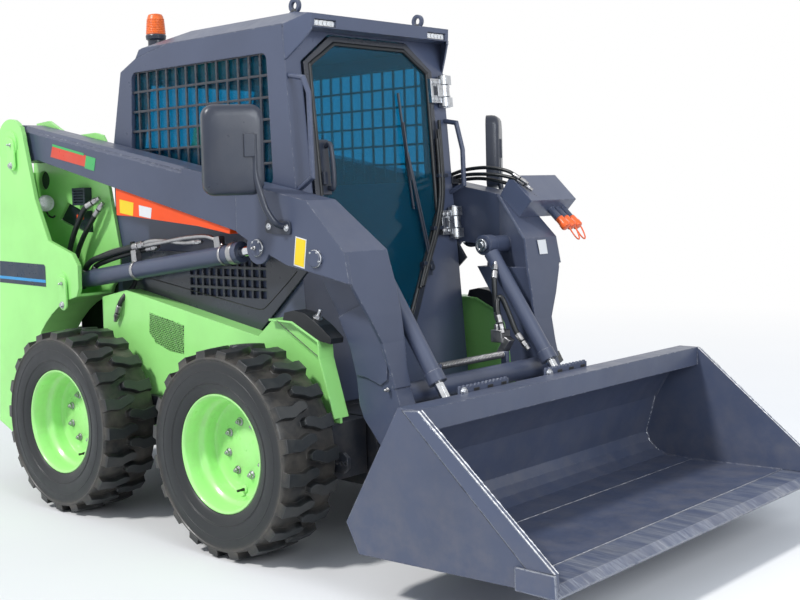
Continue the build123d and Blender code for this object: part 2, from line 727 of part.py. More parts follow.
def door_handle():
    place = front_frame(DOOR_PROUD) * Pos(-307, up_slope(1440), 0)
    plate = place * Pos(-30, 0, 6) * Box(40, 215, 12)
    lever = place * Pos(-20, 0, 32) * Box(22, 170, 14)
    posts = place * Pos(-20, 72, 20) * Box(18, 18, 24) + place * Pos(-20, -72, 20) * Box(18, 18, 24)
    return plate + lever + posts


def wiper():
    place = front_frame(DOOR_PROUD)
    motor = place * Pos(236, up_slope(1004), 12) * Box(60, 56, 24)
    arm = place * Pos(214, up_slope(1270), 20) * Rot(0, 0, 12) * Box(16, 520, 10)
    blade = place * Pos(162, up_slope(1500), 10) * Rot(0, 0, 4) * Box(12, 520, 14)
    return motor + arm + blade


def grab_handles():
    """Bent tube handles on both front pillars."""
    tube_radius = 11
    y = -462
    points = [(1075, y, 1794), (1150, y, 1779), (1178, y, 1720), (1186, y, 1400), (1108, y, 1353)]
    handle = bent_bar(points, tube_radius)
    low_points = [(1090, y, 1640), (1150, y, 1629), (1182, y, 1511), (1186, y, 1360), (1112, y, 1330)]
    low = bent_bar(low_points, tube_radius)
    cut = side_plate(
        [(0, 0), (cab_front_x(0), 0), (cab_front_x(2100), 2100), (0, 2100)], -600, 600
    )
    return Compound(children=[handle - cut, left_of(low) - cut])


def beacon():
    roof_and_frame = cab_roof() + cab_frame()
    base = Pos(110, -350, 1948) * extrude(RegularPolygon(40, 16), amount=100)
    lens = Pos(110, -350, 2048) * extrude(RegularPolygon(47, 16), amount=108)
    return chamfer(lens.edges().group_by(Axis.Z)[-1], 14) + (base - roof_and_frame)


# ---- seat and controls ------------------------------------------------------------------
FLOOR_Z = CAB_BOTTOM_Z + CAB_WALL
SEAT_MIDDLE_X = 420
SEAT_WIDTH = 460
CUSHION_BOTTOM_Z = 800
CUSHION_THICKNESS = 110


def seat_base():
    return block(200, 620, -190, 190, FLOOR_Z, CUSHION_BOTTOM_Z - SEAT_GAP)


def seat_cushion():
    cushion = block(
        170, 650, -SEAT_WIDTH / 2, SEAT_WIDTH / 2, CUSHION_BOTTOM_Z, CUSHION_BOTTOM_Z + CUSHION_THICKNESS
    )
    return fillet(cushion.edges().filter_by(Axis.Z), 50)


def seat_back():
    foot = CUSHION_BOTTOM_Z + CUSHION_THICKNESS + SEAT_GAP
    profile = [(165, foot), (255, foot), (190, 1440), (110, 1440)]
    return side_plate(profile, -SEAT_WIDTH / 2, SEAT_WIDTH / 2, radii=30)


def consoles():
    """Control consoles beside the seat, each with its lever."""
    right = block(240, 700, -400, -280, FLOOR_Z, 960)
    right += rod_between((600, -340, 955), (680, -340, 1090), 12)
    right += Pos(692, -340, 1110) * Cylinder(26, 110)
    return Compound(children=[right, left_of(right)])


# ---- engine bay covers -------------------------------------------------------------------
COVER_HALF_WIDTH = 468
REAR_DOOR_BOTTOM_Z = 600
REAR_DOOR_TOP_Z = 1245
REAR_DOOR_DEPTH = 45
REAR_HINGE_Y = 472
REAR_HINGE_OUT = 4  # behind the door's face
REAR_HINGE_RADIUS = 7
REAR_HINGE_ENDS = (700, 1150)
HOOD_BOTTOM_Z = 1255
HOOD_TOP_Z = 1300
HOOD_REAR_X = -735
HOOD_FRONT_X = -84
HOOD_SHEET = 12
HOOD_PIN = (-104, 1282)
HOOD_PIN_RADIUS = 8


def rear_door():
    profile = [
        (rear_line_x(REAR_DOOR_BOTTOM_Z), REAR_DOOR_BOTTOM_Z),
        (rear_line_x(REAR_DOOR_TOP_Z), REAR_DOOR_TOP_Z),
        (rear_line_x(REAR_DOOR_TOP_Z) + REAR_DOOR_DEPTH, REAR_DOOR_TOP_Z),
        (rear_line_x(REAR_DOOR_BOTTOM_Z) + REAR_DOOR_DEPTH, REAR_DOOR_BOTTOM_Z),
    ]
    door = side_plate(profile, -COVER_HALF_WIDTH, COVER_HALF_WIDTH)
    for row in range(9):
        z = 700 + 52 * row
        for y in (-300, 20):
            door -= block(-900, -600, y, y + 280, z, z + 26)
    low_pin, high_pin = ((rear_line_x(z) - REAR_HINGE_OUT, REAR_HINGE_Y, z) for z in REAR_HINGE_ENDS)
    return door + rod_between(low_pin, high_pin, REAR_HINGE_RADIUS)


def hood():
    profile = [
        (HOOD_REAR_X, HOOD_BOTTOM_Z),
        (HOOD_REAR_X + 14, HOOD_TOP_Z - 12),
        (HOOD_REAR_X + 60, HOOD_TOP_Z),
        (HOOD_FRONT_X, HOOD_TOP_Z),
        (HOOD_FRONT_X, HOOD_BOTTOM_Z),
    ]
    lid = side_plate(profile, -COVER_HALF_WIDTH, COVER_HALF_WIDTH)
    inside = COVER_HALF_WIDTH - HOOD_SHEET
    lid -= block(-700, -130, -inside, inside, 1200, HOOD_TOP_Z - 14)
    lid -= cross_bar(HOOD_PIN, HOOD_PIN_RADIUS + RUNNING_GAP, -500, 1 - inside)
    lid -= cross_bar(HOOD_PIN, HOOD_PIN_RADIUS + RUNNING_GAP, inside - 1, 500)
    for column in range(7):
        x = -620 + 64 * column
        lid -= block(x, x + 34, -340, 340, 1200, 1400)
    return lid


# ---- loader arms -------------------------------------------------------------------------
ARM_SHEET = 10
ELBOW_SHEET = 15
LEG_INNER_Y = 430
LEG_OUTER_Y = 510
LUG_RADIUS = 62
LEG_END_RADIUS = 50
HITCH_PIN_RADIUS = 28
BEAM_BOTTOM = [(-443, 1531), (922, 1208)]
ELBOW_TOP = [(960, 1391), (1342, 1315), (1525, 1130)]
LEG_FRONT = [(1525, 1130), (1547, 1018), (1570, 900), (1582, 800), (1608, 700), (1625, 640)]
LEG_REAR = [(1465, 515), (1445, 564), (1435, 658), (1413, 770), (1356, 881), (1272, 1013)]


def beam_bottom_z(x):
    """Underside of the arm's beam, which falls toward the elbow."""
    (rear_x, rear_z), (front_x, front_z) = BEAM_BOTTOM
    return rear_z + (x - rear_x) * (front_z - rear_z) / (front_x - rear_x)


def arm_right():
    beam_profile = [(-580, 1700), (960, 1391), (1010, 1380), (1010, 1187)] + BEAM_BOTTOM[::-1]
    beam = side_plate(beam_profile + [(-583, 1523)], -ARM_OUTER_Y, -ARM_INNER_Y)
    beam += cross_bar(ARM_PIVOT, 90, -ARM_OUTER_Y, -ARM_INNER_Y)
    hollow = [(-460, 1660), (1000, 1368), (1000, 1202), (923, 1219), (-440, 1542)]
    beam -= side_plate(hollow, ARM_SHEET - ARM_OUTER_Y, -ARM_INNER_Y - ARM_SHEET)
    chamfer_cut = [(-ARM_OUTER_Y - 1, 0), (-ARM_OUTER_Y - 1, 26), (26 - ARM_OUTER_Y, 26)]
    edge = Plane(origin=(-560, 0, 1696 - 26), x_dir=(0, 1, 0), z_dir=(1540, 0, -309))
    beam -= extrude(edge * make_face(Polyline(*chamfer_cut, close=True)), amount=1200)
    beam -= cross_bar(ARM_PIVOT, ARM_PIN_RADIUS + PIN_GAP, -ARM_OUTER_Y - 1, 1 - ARM_INNER_Y)

    outer_low = -ARM_OUTER_Y - ELBOW_SHEET
    elbow_profile = ELBOW_TOP + [(1547, 1018), (1363, 1055), (1229, 1080), (1079, 1141), (960, 1200)]
    outer = side_plate(elbow_profile, outer_low, -ARM_OUTER_Y)
    outer += cross_bar(LIFT_ROD_PIN, LUG_RADIUS, outer_low, -ARM_OUTER_Y)
    inner_low = -ARM_INNER_Y - ARM_SHEET
    straight_profile = [(960, 1391), (1342, 1315), (1342, 1085), (1079, 1120), (960, 1200)]
    inner = side_plate(straight_profile, inner_low, -ARM_INNER_Y)
    inner += cross_bar(LIFT_ROD_PIN, LUG_RADIUS, inner_low, -ARM_INNER_Y)
    angled = plan_plate(
        [(1342, -ARM_INNER_Y), (1525, -LEG_INNER_Y), (1525, -LEG_INNER_Y - 11), (1342, inner_low)],
        900,
        1400,
    )
    angled = angled & side_plate(elbow_profile, -700, -300)
    top = strip([(1342, 1315), (960, 1391)], ARM_SHEET, outer_low, -ARM_INNER_Y)
    ribbon = strip(
        LEG_FRONT[::-1] + [(1342, 1315)], 12, outer_low, -400
    )
    ribbon_outline = [
        (-ARM_INNER_Y, 1330),
        (outer_low, 1330),
        (outer_low, 1100),
        (-636, 1000),
        (-582, 900),
        (-528, 800),
        (-515, 700),
        (-LEG_OUTER_Y, 600),
        (-LEG_INNER_Y, 600),
        (-428, 700),
        (-408, 800),
        (-413, 1000),
        (-426, 1100),
        (-LEG_INNER_Y, 1130),
        (-ARM_INNER_Y, 1315),
    ]
    ribbon = ribbon & front_plate(ribbon_outline, 1200, 1700)
    elbow = outer + inner + angled + top + ribbon

    leg_profile = [(1300, 1150), (1500, 1110)] + [(x - 6, z) for x, z in LEG_FRONT[1:]]
    leg_profile += [(1738, 350), (1650, 305)] + LEG_REAR
    leg = side_plate(leg_profile, -LEG_OUTER_Y, -LEG_INNER_Y)
    leg += cross_bar(HITCH_PIVOT, LEG_END_RADIUS, -LEG_OUTER_Y, -LEG_INNER_Y)
    leg_hollow = [(1375, 880), (1535, 1000), (1552, 900), (1564, 800), (1590, 700), (1640, 560)]
    leg_hollow += [(1560, 500), (1480, 525), (1457, 566), (1447, 660), (1425, 772)]
    leg -= side_plate(leg_hollow, ARM_SHEET - LEG_OUTER_Y, -LEG_INNER_Y - ARM_SHEET)
    relief = [(1200, -400), (1200, -ARM_INNER_Y), (1342, -ARM_INNER_Y), (1525, -LEG_INNER_Y), (1525, -400)]
    leg -= plan_plate(relief, 1010, 1300)
    overlay = side_plate(
        [(1439, 674), (1490, 669), (1556, 647), (1588, 668), (1590, 716), (1570, 790), (1500, 950), (1356, 881), (1413, 770)],
        -LEG_OUTER_Y - 8,
        -LEG_OUTER_Y,
    )
    leg -= cross_bar(HITCH_PIVOT, HITCH_PIN_RADIUS + PIN_GAP, -LEG_OUTER_Y - 1, 1 - LEG_INNER_Y)

    stub_end = -LIFT_CYLINDER_Y - EYE_WIDTH / 2 - EYE_SIDE_GAP
    pins = cross_bar(LIFT_ROD_PIN, 30, outer_low - 13, stub_end)
    stub_end = -LIFT_CYLINDER_Y + EYE_WIDTH / 2 + EYE_SIDE_GAP
    pins += cross_bar(LIFT_ROD_PIN, 30, stub_end, -ARM_INNER_Y)
    pins += cross_bar(TILT_BASE, 30, outer_low - 13, -ARM_OUTER_Y)
    tilt_eye_outer = -TILT_CYLINDER_Y - EYE_WIDTH / 2 - EYE_SIDE_GAP
    pins += cross_bar(TILT_BASE, 36, -508, tilt_eye_outer)
    tilt_eye_inner = -TILT_CYLINDER_Y + EYE_WIDTH / 2 + EYE_SIDE_GAP
    pins += cross_bar(TILT_BASE, TILT_PIN_RADIUS, -508, tilt_eye_inner + 6)
    return beam + elbow + leg + overlay + pins


CROSS_TUBE_CENTRE = (1576, 602)
CROSS_TUBE_RADIUS = 40


def cross_tube():
    return cross_bar(CROSS_TUBE_CENTRE, CROSS_TUBE_RADIUS, -LEG_INNER_Y, LEG_INNER_Y)


def arm_lock():
    """Channel that props the raised arm, stowed under the right beam."""
    top_rear = (151, beam_bottom_z(151) - SEAT_GAP)
    top_front = (890, beam_bottom_z(890) - SEAT_GAP)
    profile = [top_rear, top_front, (890, 1192), (700, 1222), (265, 1264), (151, 1270)]
    lock = side_plate(profile, -628, -572)
    hollow = [(140, 1360), (700, 1232), (700, 1180), (140, 1240)]
    return lock - side_plate(hollow, -622, -578)


COUPLER_BOX_DEPTH = 96
COUPLER_BOX_LENGTH = 142


def on_bevel(along, off):
    """Point along the elbow's sloping front face, off it by a distance."""
    (x0, z0), (x1, z1) = ELBOW_TOP[1:]
    run = math.dist((x0, z0), (x1, z1))
    ux, uz = (x1 - x0) / run, (z1 - z0) / run
    return (x0 + ux * along - uz * off, z0 + uz * along + ux * off)


def coupler_box():
    """Hose coupler box on the left elbow, reaching outboard."""
    profile = [
        on_bevel(6, SEAT_GAP),
        on_bevel(-14, COUPLER_BOX_DEPTH),
        on_bevel(COUPLER_BOX_LENGTH - 4, COUPLER_BOX_DEPTH),
        on_bevel(COUPLER_BOX_LENGTH, SEAT_GAP),
    ]
    body = side_plate(profile, 505, 840)
    for y in (700, 745, 790):
        x, z = on_bevel(COUPLER_BOX_LENGTH + 20, 40)
        body += Pos(x, y, z) * Rot(0, 135, 0) * Cylinder(17, 70)
    return body


MIRROR_CENTRE = (1110, -790, 1505)


def mirror_right():
    turn = math.degrees(math.atan2(-0.53, 0.85))
    shell = Box(60, 230, 335)
    shell = chamfer(shell.edges().filter_by(Axis.X), 24)
    shell = chamfer(shell.faces().sort_by(Axis.X)[-1].edges(), 12)
    shell = Pos(*MIRROR_CENTRE) * Rot(0, 0, turn) * shell
    plate_low = -ARM_OUTER_Y - ELBOW_SHEET - 10
    foot = block(1179, 1277, plate_low, -ARM_OUTER_Y - ELBOW_SHEET, 1212, 1250)
    points = [(1228, plate_low + 5, 1231), (1226, -700, 1240), (1214, -718, 1276), (1190, -726, 1340), (1168, -738, 1400)]
    points.append((1168, -738, 1560))
    stalk = bent_bar(points, 12)
    clamp = Pos(1152, -752, 1520) * Rot(0, 0, turn) * Box(50, 44, 70)
    return shell + foot + stalk + clamp


# ---- cylinders ---------------------------------------------------------------------------
EYE_RADIUS = 42
LIFT_ROD_EYE_RADIUS = 38
LIFT_BARREL_RADIUS = 38
LIFT_BARREL_LENGTH = 1140
LIFT_ROD_RADIUS = 22
LIFT_ROD_LENGTH = 973
TILT_BARREL_RADIUS = 31
TILT_BARREL_LENGTH = 551
TILT_ROD_RADIUS = 18
TILT_ROD_LENGTH = 501
TILT_PIN_RADIUS = 24
ROD_PLAY = 0.4


def barrel(radius, length, bore_start, rod_radius, pin_radius):
    """Cylinder barrel along +X with its eye at the origin."""
    body = Pos((40 + length) / 2, 0, 0) * Rot(0, 90, 0) * Cylinder(radius, length - 40)
    body += cross_bar((0, 0), EYE_RADIUS, -EYE_WIDTH / 2, EYE_WIDTH / 2)
    body += Pos(length - 22, 0, 0) * Rot(0, 90, 0) * Cylinder(radius + 4, 44)
    bore = Pos((bore_start + length + 1) / 2, 0, 0) * Rot(0, 90, 0)
    body -= bore * Cylinder(rod_radius + ROD_PLAY, length + 1 - bore_start)
    return body - cross_bar((0, 0), pin_radius + PIN_GAP, -EYE_WIDTH, EYE_WIDTH)


def piston_rod(total, length, rod_radius, eye_radius, eye_bore):
    """Rod along +X that ends in an eye at x = total."""
    rod = Pos(total - length / 2, 0, 0) * Rot(0, 90, 0) * Cylinder(rod_radius, length)
    rod += cross_bar((total, 0), eye_radius, -EYE_WIDTH / 2, EYE_WIDTH / 2)
    return rod - cross_bar((total, 0), eye_bore, -EYE_WIDTH, EYE_WIDTH)


def lift_barrel():
    piece = barrel(LIFT_BARREL_RADIUS, LIFT_BARREL_LENGTH, 285, LIFT_ROD_RADIUS, LIFT_PIN_RADIUS)
    return aim(piece, LIFT_BASE, LIFT_ROD_PIN, -LIFT_CYLINDER_Y)


def lift_rod():
    reach = math.dist(LIFT_BASE, LIFT_ROD_PIN)
    piece = piston_rod(reach, LIFT_ROD_LENGTH, LIFT_ROD_RADIUS, LIFT_ROD_EYE_RADIUS, 20)
    return aim(piece, LIFT_BASE, LIFT_ROD_PIN, -LIFT_CYLINDER_Y)


def tilt_barrel():
    piece = barrel(TILT_BARREL_RADIUS, TILT_BARREL_LENGTH, 128, TILT_ROD_RADIUS, TILT_PIN_RADIUS)
    return aim(piece, TILT_BASE, TILT_ROD_PIN, -TILT_CYLINDER_Y)


def tilt_rod():
    reach = math.dist(TILT_BASE, TILT_ROD_PIN)
    piece = piston_rod(reach, TILT_ROD_LENGTH, TILT_ROD_RADIUS, 34, 18)
    return aim(piece, TILT_BASE, TILT_ROD_PIN, -TILT_CYLINDER_Y)


# ---- hitch and bucket ----------------------------------------------------------------------
BUCKET_TOP_REAR = (1967, 665)
BUCKET_TOP_FRONT = (2051, 665)
BUCKET_NOSE = (2541, 253)
BUCKET_HEEL = (1786, 166)
BUCKET_BACK_FOOT = (1732, 264)
BUCKET_SIDE_SHEET = 14
BUCKET_FLOOR_END = (2407, 186)
BUCKET_FLOOR_TOP_Z = 206
HITCH_SHEET = 12
HITCH_GAP = SEAT_GAP
HITCH_LUG_SHEET = 13
HITCH_HALF_WIDTH = 560


def behind_back(along, behind):
    """Point along the bucket's back from its foot, that far behind it."""
    run = math.dist(BUCKET_BACK_FOOT, BUCKET_TOP_REAR)
    ux = (BUCKET_TOP_REAR[0] - BUCKET_BACK_FOOT[0]) / run
    uz = (BUCKET_TOP_REAR[1] - BUCKET_BACK_FOOT[1]) / run
    x = BUCKET_BACK_FOOT[0] + ux * along - uz * behind
    z = BUCKET_BACK_FOOT[1] + uz * along + ux * behind
    return (x, z)


def hitch():
    """Quick hitch: plate behind the bucket with lugs for the arms and tilt rods."""
    front = HITCH_GAP
    back = HITCH_GAP + HITCH_SHEET
    plate = side_plate(
        [behind_back(20, front), behind_back(400, front), behind_back(400, back), behind_back(20, back)],
        -HITCH_HALF_WIDTH,
        HITCH_HALF_WIDTH,
    )
    pieces = plate
    for side in (-1, 1):
        for inner in (LEG_INNER_Y - MOVING_GAP - HITCH_LUG_SHEET, LEG_OUTER_Y + MOVING_GAP + 8):
            low, high = sorted((side * inner, side * (inner + HITCH_LUG_SHEET)))
            lug = side_plate([behind_back(20, back - 1), behind_back(150, back - 1), HITCH_PIVOT], low, high)
            pieces += lug + cross_bar(HITCH_PIVOT, 46, low, high)
        pin_low = LEG_INNER_Y - MOVING_GAP - HITCH_LUG_SHEET - 8
        pin_high = LEG_OUTER_Y + MOVING_GAP + 8 + HITCH_LUG_SHEET + 8
        low, high = sorted((side * pin_low, side * pin_high))
        pieces += cross_bar(HITCH_PIVOT, HITCH_PIN_RADIUS, low, high)
        for inner in (TILT_CYLINDER_Y - 44, TILT_CYLINDER_Y + 30):
            low, high = sorted((side * inner, side * (inner + 14)))
            lug = side_plate([behind_back(150, back - 1), behind_back(330, back - 1), TILT_ROD_PIN], low, high)
            pieces += lug + cross_bar(TILT_ROD_PIN, 38, low, high)
    return pieces


def bucket_section():
    return [
        BUCKET_TOP_REAR,
        BUCKET_TOP_FRONT,
        (2051, 592),
        (2041, 592),
        (1928, 560),
        (1914, 537),
        (1858, 444),
        (1815, 288),
        (1829, 252),
        (1856, 224),
        (1903, 201),
        (2024, 196),
        (BUCKET_FLOOR_END[0], BUCKET_FLOOR_TOP_Z),
        BUCKET_FLOOR_END,
        BUCKET_HEEL,
        BUCKET_BACK_FOOT,
    ]


def bucket_shell():
    inside = BUCKET_HALF_WIDTH - BUCKET_SIDE_SHEET
    shell = side_plate(bucket_section(), -BUCKET_HALF_WIDTH, BUCKET_HALF_WIDTH)
    hollow = [(1750, 270), (1793, 184), (1878, 189), (1844, 214), (1818, 246), (1803, 288), (1818, 350)]
    shell -= side_plate(hollow, 30 - inside, inside - 30)
    beam_hollow = [(1934, 573), (2040, 603), (2040, 655), (1974, 655)]
    shell -= side_plate(beam_hollow, 30 - inside, inside - 30)
    side = [
        BUCKET_TOP_REAR,
        BUCKET_TOP_FRONT,
        BUCKET_NOSE,
        (2545, BUCKET_FLOOR_TOP_Z),
        (BUCKET_FLOOR_END[0], BUCKET_FLOOR_TOP_Z),
        BUCKET_FLOOR_END,
        BUCKET_HEEL,
        BUCKET_BACK_FOOT,
    ]
    right = side_plate(side, -BUCKET_HALF_WIDTH, -inside)
    return shell + right + left_of(right)


def cutting_edge():
    """Bolt-on edge of the floor, with wear plates on the ends."""
    profile = [
        (BUCKET_FLOOR_END[0], 181),
        (BUCKET_LIP_X, 181),
        (BUCKET_LIP_X, 186),
        (2512, BUCKET_FLOOR_TOP_Z - 0.5),
        (BUCKET_FLOOR_END[0], BUCKET_FLOOR_TOP_Z - 0.5),
    ]
    edge = side_plate(profile, -BUCKET_HALF_WIDTH, BUCKET_HALF_WIDTH)
    end = side_plate(
        [(2406, 181), (BUCKET_LIP_X, 181), (BUCKET_NOSE[0] + 2, 251), (2406, 251)],
        -BUCKET_HALF_WIDTH - 8,
        -BUCKET_HALF_WIDTH,
    )
    return edge + end + left_of(end)


# ---- all pieces ---------------------------------------------------------------------------
def all_pieces():
    pieces = {
        "lower_frame": lower_frame(),
        "tie_downs": tie_downs(),
        "rear_bumper": rear_bumper(),
        "engine_block": engine_block(),
        "work_lamps": work_lamps(),
        "vent_boxes": vent_boxes(),
        "stop_pads": stop_pads(),
        "cab_frame": cab_frame(),
        "cab_roof": cab_roof(),
        "roof_lamps": roof_lamps(),
        "cab_glass": cab_glass(),
        "window_guards": window_guards(),
        "door_hinges": door_hinges(),
        "door_frame": door_frame(),
        "door_glass": door_glass(),
        "door_handle": door_handle(),
        "wiper": wiper(),
        "grab_handles": grab_handles(),
        "beacon": beacon(),
        "seat_base": seat_base(),
        "seat_cushion": seat_cushion(),
        "seat_back": seat_back(),
        "consoles": consoles(),
        "rear_door": rear_door(),
        "hood": hood(),
        "cross_tube": cross_tube(),
        "arm_lock": arm_lock(),
        "coupler_box": coupler_box(),
        "hitch": hitch(),
        "bucket_shell": bucket_shell(),
        "cutting_edge": cutting_edge(),
    }
    paired = {
        "tower": tower_right,
        "body_side": body_side_right,
        "side_panel": side_panel_right,
        "arm": arm_right,
        "mirror": mirror_right,
        "lift_barrel": lift_barrel,
        "lift_rod": lift_rod,
        "tilt_barrel": tilt_barrel,
        "tilt_rod": tilt_rod,
    }
    for name, make in paired.items():
        right = make()
        pieces[name + "_right"] = right
        pieces[name + "_left"] = left_of(right)
    tyre_ring = tyre()
    wheel = rim()
    for axle, axle_x in AXLES_X.items():
        right_place = Pos(axle_x, -TYRE_MIDDLE_Y, AXLE_Z)
        pieces["tyre_" + axle + "_right"] = right_place * tyre_ring
        pieces["rim_" + axle + "_right"] = right_place * wheel
        pieces["tyre_" + axle + "_left"] = left_of(right_place * tyre_ring)
        pieces["rim_" + axle + "_left"] = left_of(right_place * wheel)
    return pieces


os.makedirs("parts", exist_ok=True)
for node, solid in all_pieces().items():
    export_step(Pos(-ORIGIN_X, 0, 0) * solid, "parts/" + node + ".step")
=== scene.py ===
"""Looks of a compact skid steer loader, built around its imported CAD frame."""

import math
import random

import bmesh
import bpy
from mathutils import Matrix, Vector


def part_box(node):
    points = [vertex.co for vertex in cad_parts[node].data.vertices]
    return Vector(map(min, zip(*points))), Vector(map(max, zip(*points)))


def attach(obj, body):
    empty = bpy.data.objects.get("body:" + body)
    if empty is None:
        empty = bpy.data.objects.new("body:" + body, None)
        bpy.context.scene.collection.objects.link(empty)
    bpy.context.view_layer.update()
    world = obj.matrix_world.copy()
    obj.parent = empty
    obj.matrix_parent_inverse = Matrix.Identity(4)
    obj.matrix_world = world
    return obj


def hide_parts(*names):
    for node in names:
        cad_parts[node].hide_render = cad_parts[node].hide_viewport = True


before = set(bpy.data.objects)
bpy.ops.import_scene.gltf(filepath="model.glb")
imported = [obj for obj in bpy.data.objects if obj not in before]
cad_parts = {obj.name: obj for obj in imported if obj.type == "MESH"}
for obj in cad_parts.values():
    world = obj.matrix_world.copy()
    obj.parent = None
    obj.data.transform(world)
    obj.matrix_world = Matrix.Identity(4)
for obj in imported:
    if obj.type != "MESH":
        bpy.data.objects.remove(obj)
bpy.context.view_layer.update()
MM = 1000  # millimetres in the frame's metre
ORIGIN_X = 869  # the CAD's own x at the row frame's origin, in mm
SIDES = {"_right": -1, "_left": 1}  # a name's ending, and which way that side lies
ZERO = Vector((0, 0, 0))
ARM = "loader_arm"


def at(x, y, z):
    """CAD millimetres to a point of the row frame."""
    return Vector(((x - ORIGIN_X) / MM, y / MM, z / MM))


# ---- materials ---------------------------------------------------
class Nodes:
    """A node tree, with short calls for the nodes that it needs."""

    def __init__(self, tree):
        self.tree = tree

    def put(self, socket, value):
        if isinstance(value, bpy.types.NodeSocket):
            self.tree.links.new(value, socket)
        elif socket.type == "RGBA":
            socket.default_value = (*value, 1)
        else:
            socket.default_value = value

    def fill(self, node, inputs):
        for key, value in inputs.items():
            self.put(node.inputs[key], value)
        return node

    def add(self, kind, inputs=None, **settings):
        node = self.tree.nodes.new(kind)
        for key, value in settings.items():
            setattr(node, key, value)
        return self.fill(node, inputs or {})

    def math(self, operation, a, b=0.0):
        return self.add("ShaderNodeMath", {0: a, 1: b}, operation=operation).outputs[0]

    def times(self, a, b):
        return self.math("MULTIPLY", a, b)

    def most(self, a, b):
        return self.math("MAXIMUM", a, b)

    def shaders(self, factor, a, b):
        """Shader between a and b."""
        return self.add("ShaderNodeMixShader", {0: factor, 1: a, 2: b}).outputs[0]


class Graph(Nodes):
    """A material's node tree."""

    def __init__(self, name):
        self.mat = bpy.data.materials.new(name)
        self.mat.use_nodes = True
        super().__init__(self.mat.node_tree)
        self.shader = self.tree.nodes["Principled BSDF"]
        self.coords = self.add("ShaderNodeTexCoord").outputs["Object"]

    def stretched(self, scale):
        return self.add("ShaderNodeMapping", {"Vector": self.coords, "Scale": scale}).outputs[0]

    def noise(self, scale, detail=3, rough=0.55, vector=None, twist=0.0):
        inputs = {"Vector": vector or self.coords, "Scale": scale, "Detail": detail,
                  "Roughness": rough, "Distortion": twist}
        return self.add("ShaderNodeTexNoise", inputs).outputs["Fac"]

    def cells(self, scale):
        inputs = {"Vector": self.coords, "Scale": scale}
        return self.add("ShaderNodeTexVoronoi", inputs).outputs["Distance"]

    def fit(self, value, low, high, to_low=0.0, to_high=1.0):
        inputs = {"Value": value, "From Min": low, "From Max": high,
                  "To Min": to_low, "To Max": to_high}
        return self.add("ShaderNodeMapRange", inputs).outputs["Result"]

    def mix(self, factor, a, b, kind="RGBA"):
        """Colour between a and b."""
        inputs = {"Factor": factor, "A": a, "B": b}
        return self.add("ShaderNodeMix", inputs, data_type=kind).outputs["Result"]

    def blend(self, factor, a, b):
        """Number between a and b."""
        return self.mix(factor, a, b, "FLOAT")

    def normal(self):
        return self.add("ShaderNodeNewGeometry").outputs["Normal"]

    def axis(self, name, vector=None):
        return self.add("ShaderNodeSeparateXYZ", {"Vector": vector or self.coords}).outputs[name]

    def edges(self, radius=0.006):
        """Near 1 on sharp edges, and the rounded normal there."""
        rounded = self.add("ShaderNodeBevel", {"Radius": radius}, samples=4).outputs[0]
        inputs = {0: rounded, 1: self.normal()}
        dot = self.add("ShaderNodeVectorMath", inputs, operation="DOT_PRODUCT").outputs["Value"]
        return self.fit(dot, 0.995, 0.86), rounded

    def bump(self, height, strength, distance, normal=None):
        inputs = {"Height": height, "Strength": strength, "Distance": distance}
        if normal:
            inputs["Normal"] = normal
        return self.add("ShaderNodeBump", inputs).outputs[0]

    def coat(self, weight, rough):
        self.fill(self.shader, {"Coat Weight": weight, "Coat Roughness": rough})

    def finish(self, colour, rough, normal=None, metallic=0.0):
        inputs = {"Base Color": colour, "Roughness": rough, "Metallic": metallic}
        if normal:
            inputs["Normal"] = normal
        self.fill(self.shader, inputs)
        return self.mat

    def surface(self, shader):
        """Shader to the material's output, in place of the principled one."""
        self.fill(self.tree.nodes["Material Output"], {"Surface": shader})
        return self.mat


DUST = (0.34, 0.29, 0.22)
BARE = (0.50, 0.51, 0.53)


def shade(colour, factor):
    return tuple(min(1.0, c * factor) for c in colour)


def paint(name, colour, rough=0.38, wear=0.35, dust=0.25, peel=0.08, coat=0.15):
    """Sprayed paint: cloudy tone, orange peel, scuffed edges and road dust low down."""
    g = Graph(name)
    tone = g.mix(g.fit(g.noise(2.6, 4), 0.3, 0.7), shade(colour, 0.9), shade(colour, 1.08))
    edge, rounded = g.edges()
    chips = g.times(g.times(edge, g.fit(g.noise(38, 5, 0.7), 0.5, 0.62)), wear)
    low = g.fit(g.axis("Z"), 0.75, 0.1)
    upward = g.fit(g.axis("Z", g.normal()), 0.35, 1.0)
    grime = g.most(g.times(low, 0.75), g.times(upward, 0.35))
    speck = g.fit(g.noise(9, 7, 0.68), 0.42, 0.72)
    film = g.times(g.times(grime, speck), dust)
    tone = g.mix(chips, g.mix(film, tone, DUST), BARE)
    gloss = g.fit(g.noise(14, 5, 0.6), 0.3, 0.75, rough * 0.82, rough * 1.25)
    skin = g.bump(g.noise(420, 2, 0.5), peel, 0.0006, rounded)
    g.coat(coat, 0.12)
    return g.finish(tone, g.blend(film, gloss, 0.8), skin)


def steel(name, colour, rough, stain=0.4):
    """Bare or plated steel with uneven tone and grease stains."""
    g = Graph(name)
    lines = g.noise(60, 3, 0.6)
    spots = g.fit(g.noise(11, 6, 0.65), 0.5, 0.75)
    tone = g.mix(g.fit(lines, 0.3, 0.7), shade(colour, 0.84), shade(colour, 1.1))
    tone = g.mix(g.times(spots, stain), tone, (0.12, 0.11, 0.10))
    edge, rounded = g.edges(0.003)
    tone = g.mix(g.times(edge, 0.4), tone, (0.7, 0.7, 0.72))
    gloss = g.fit(lines, 0.25, 0.75, rough * 0.75, rough * 1.35)
    return g.finish(tone, gloss, g.bump(lines, 0.06, 0.0004, rounded), 1.0)


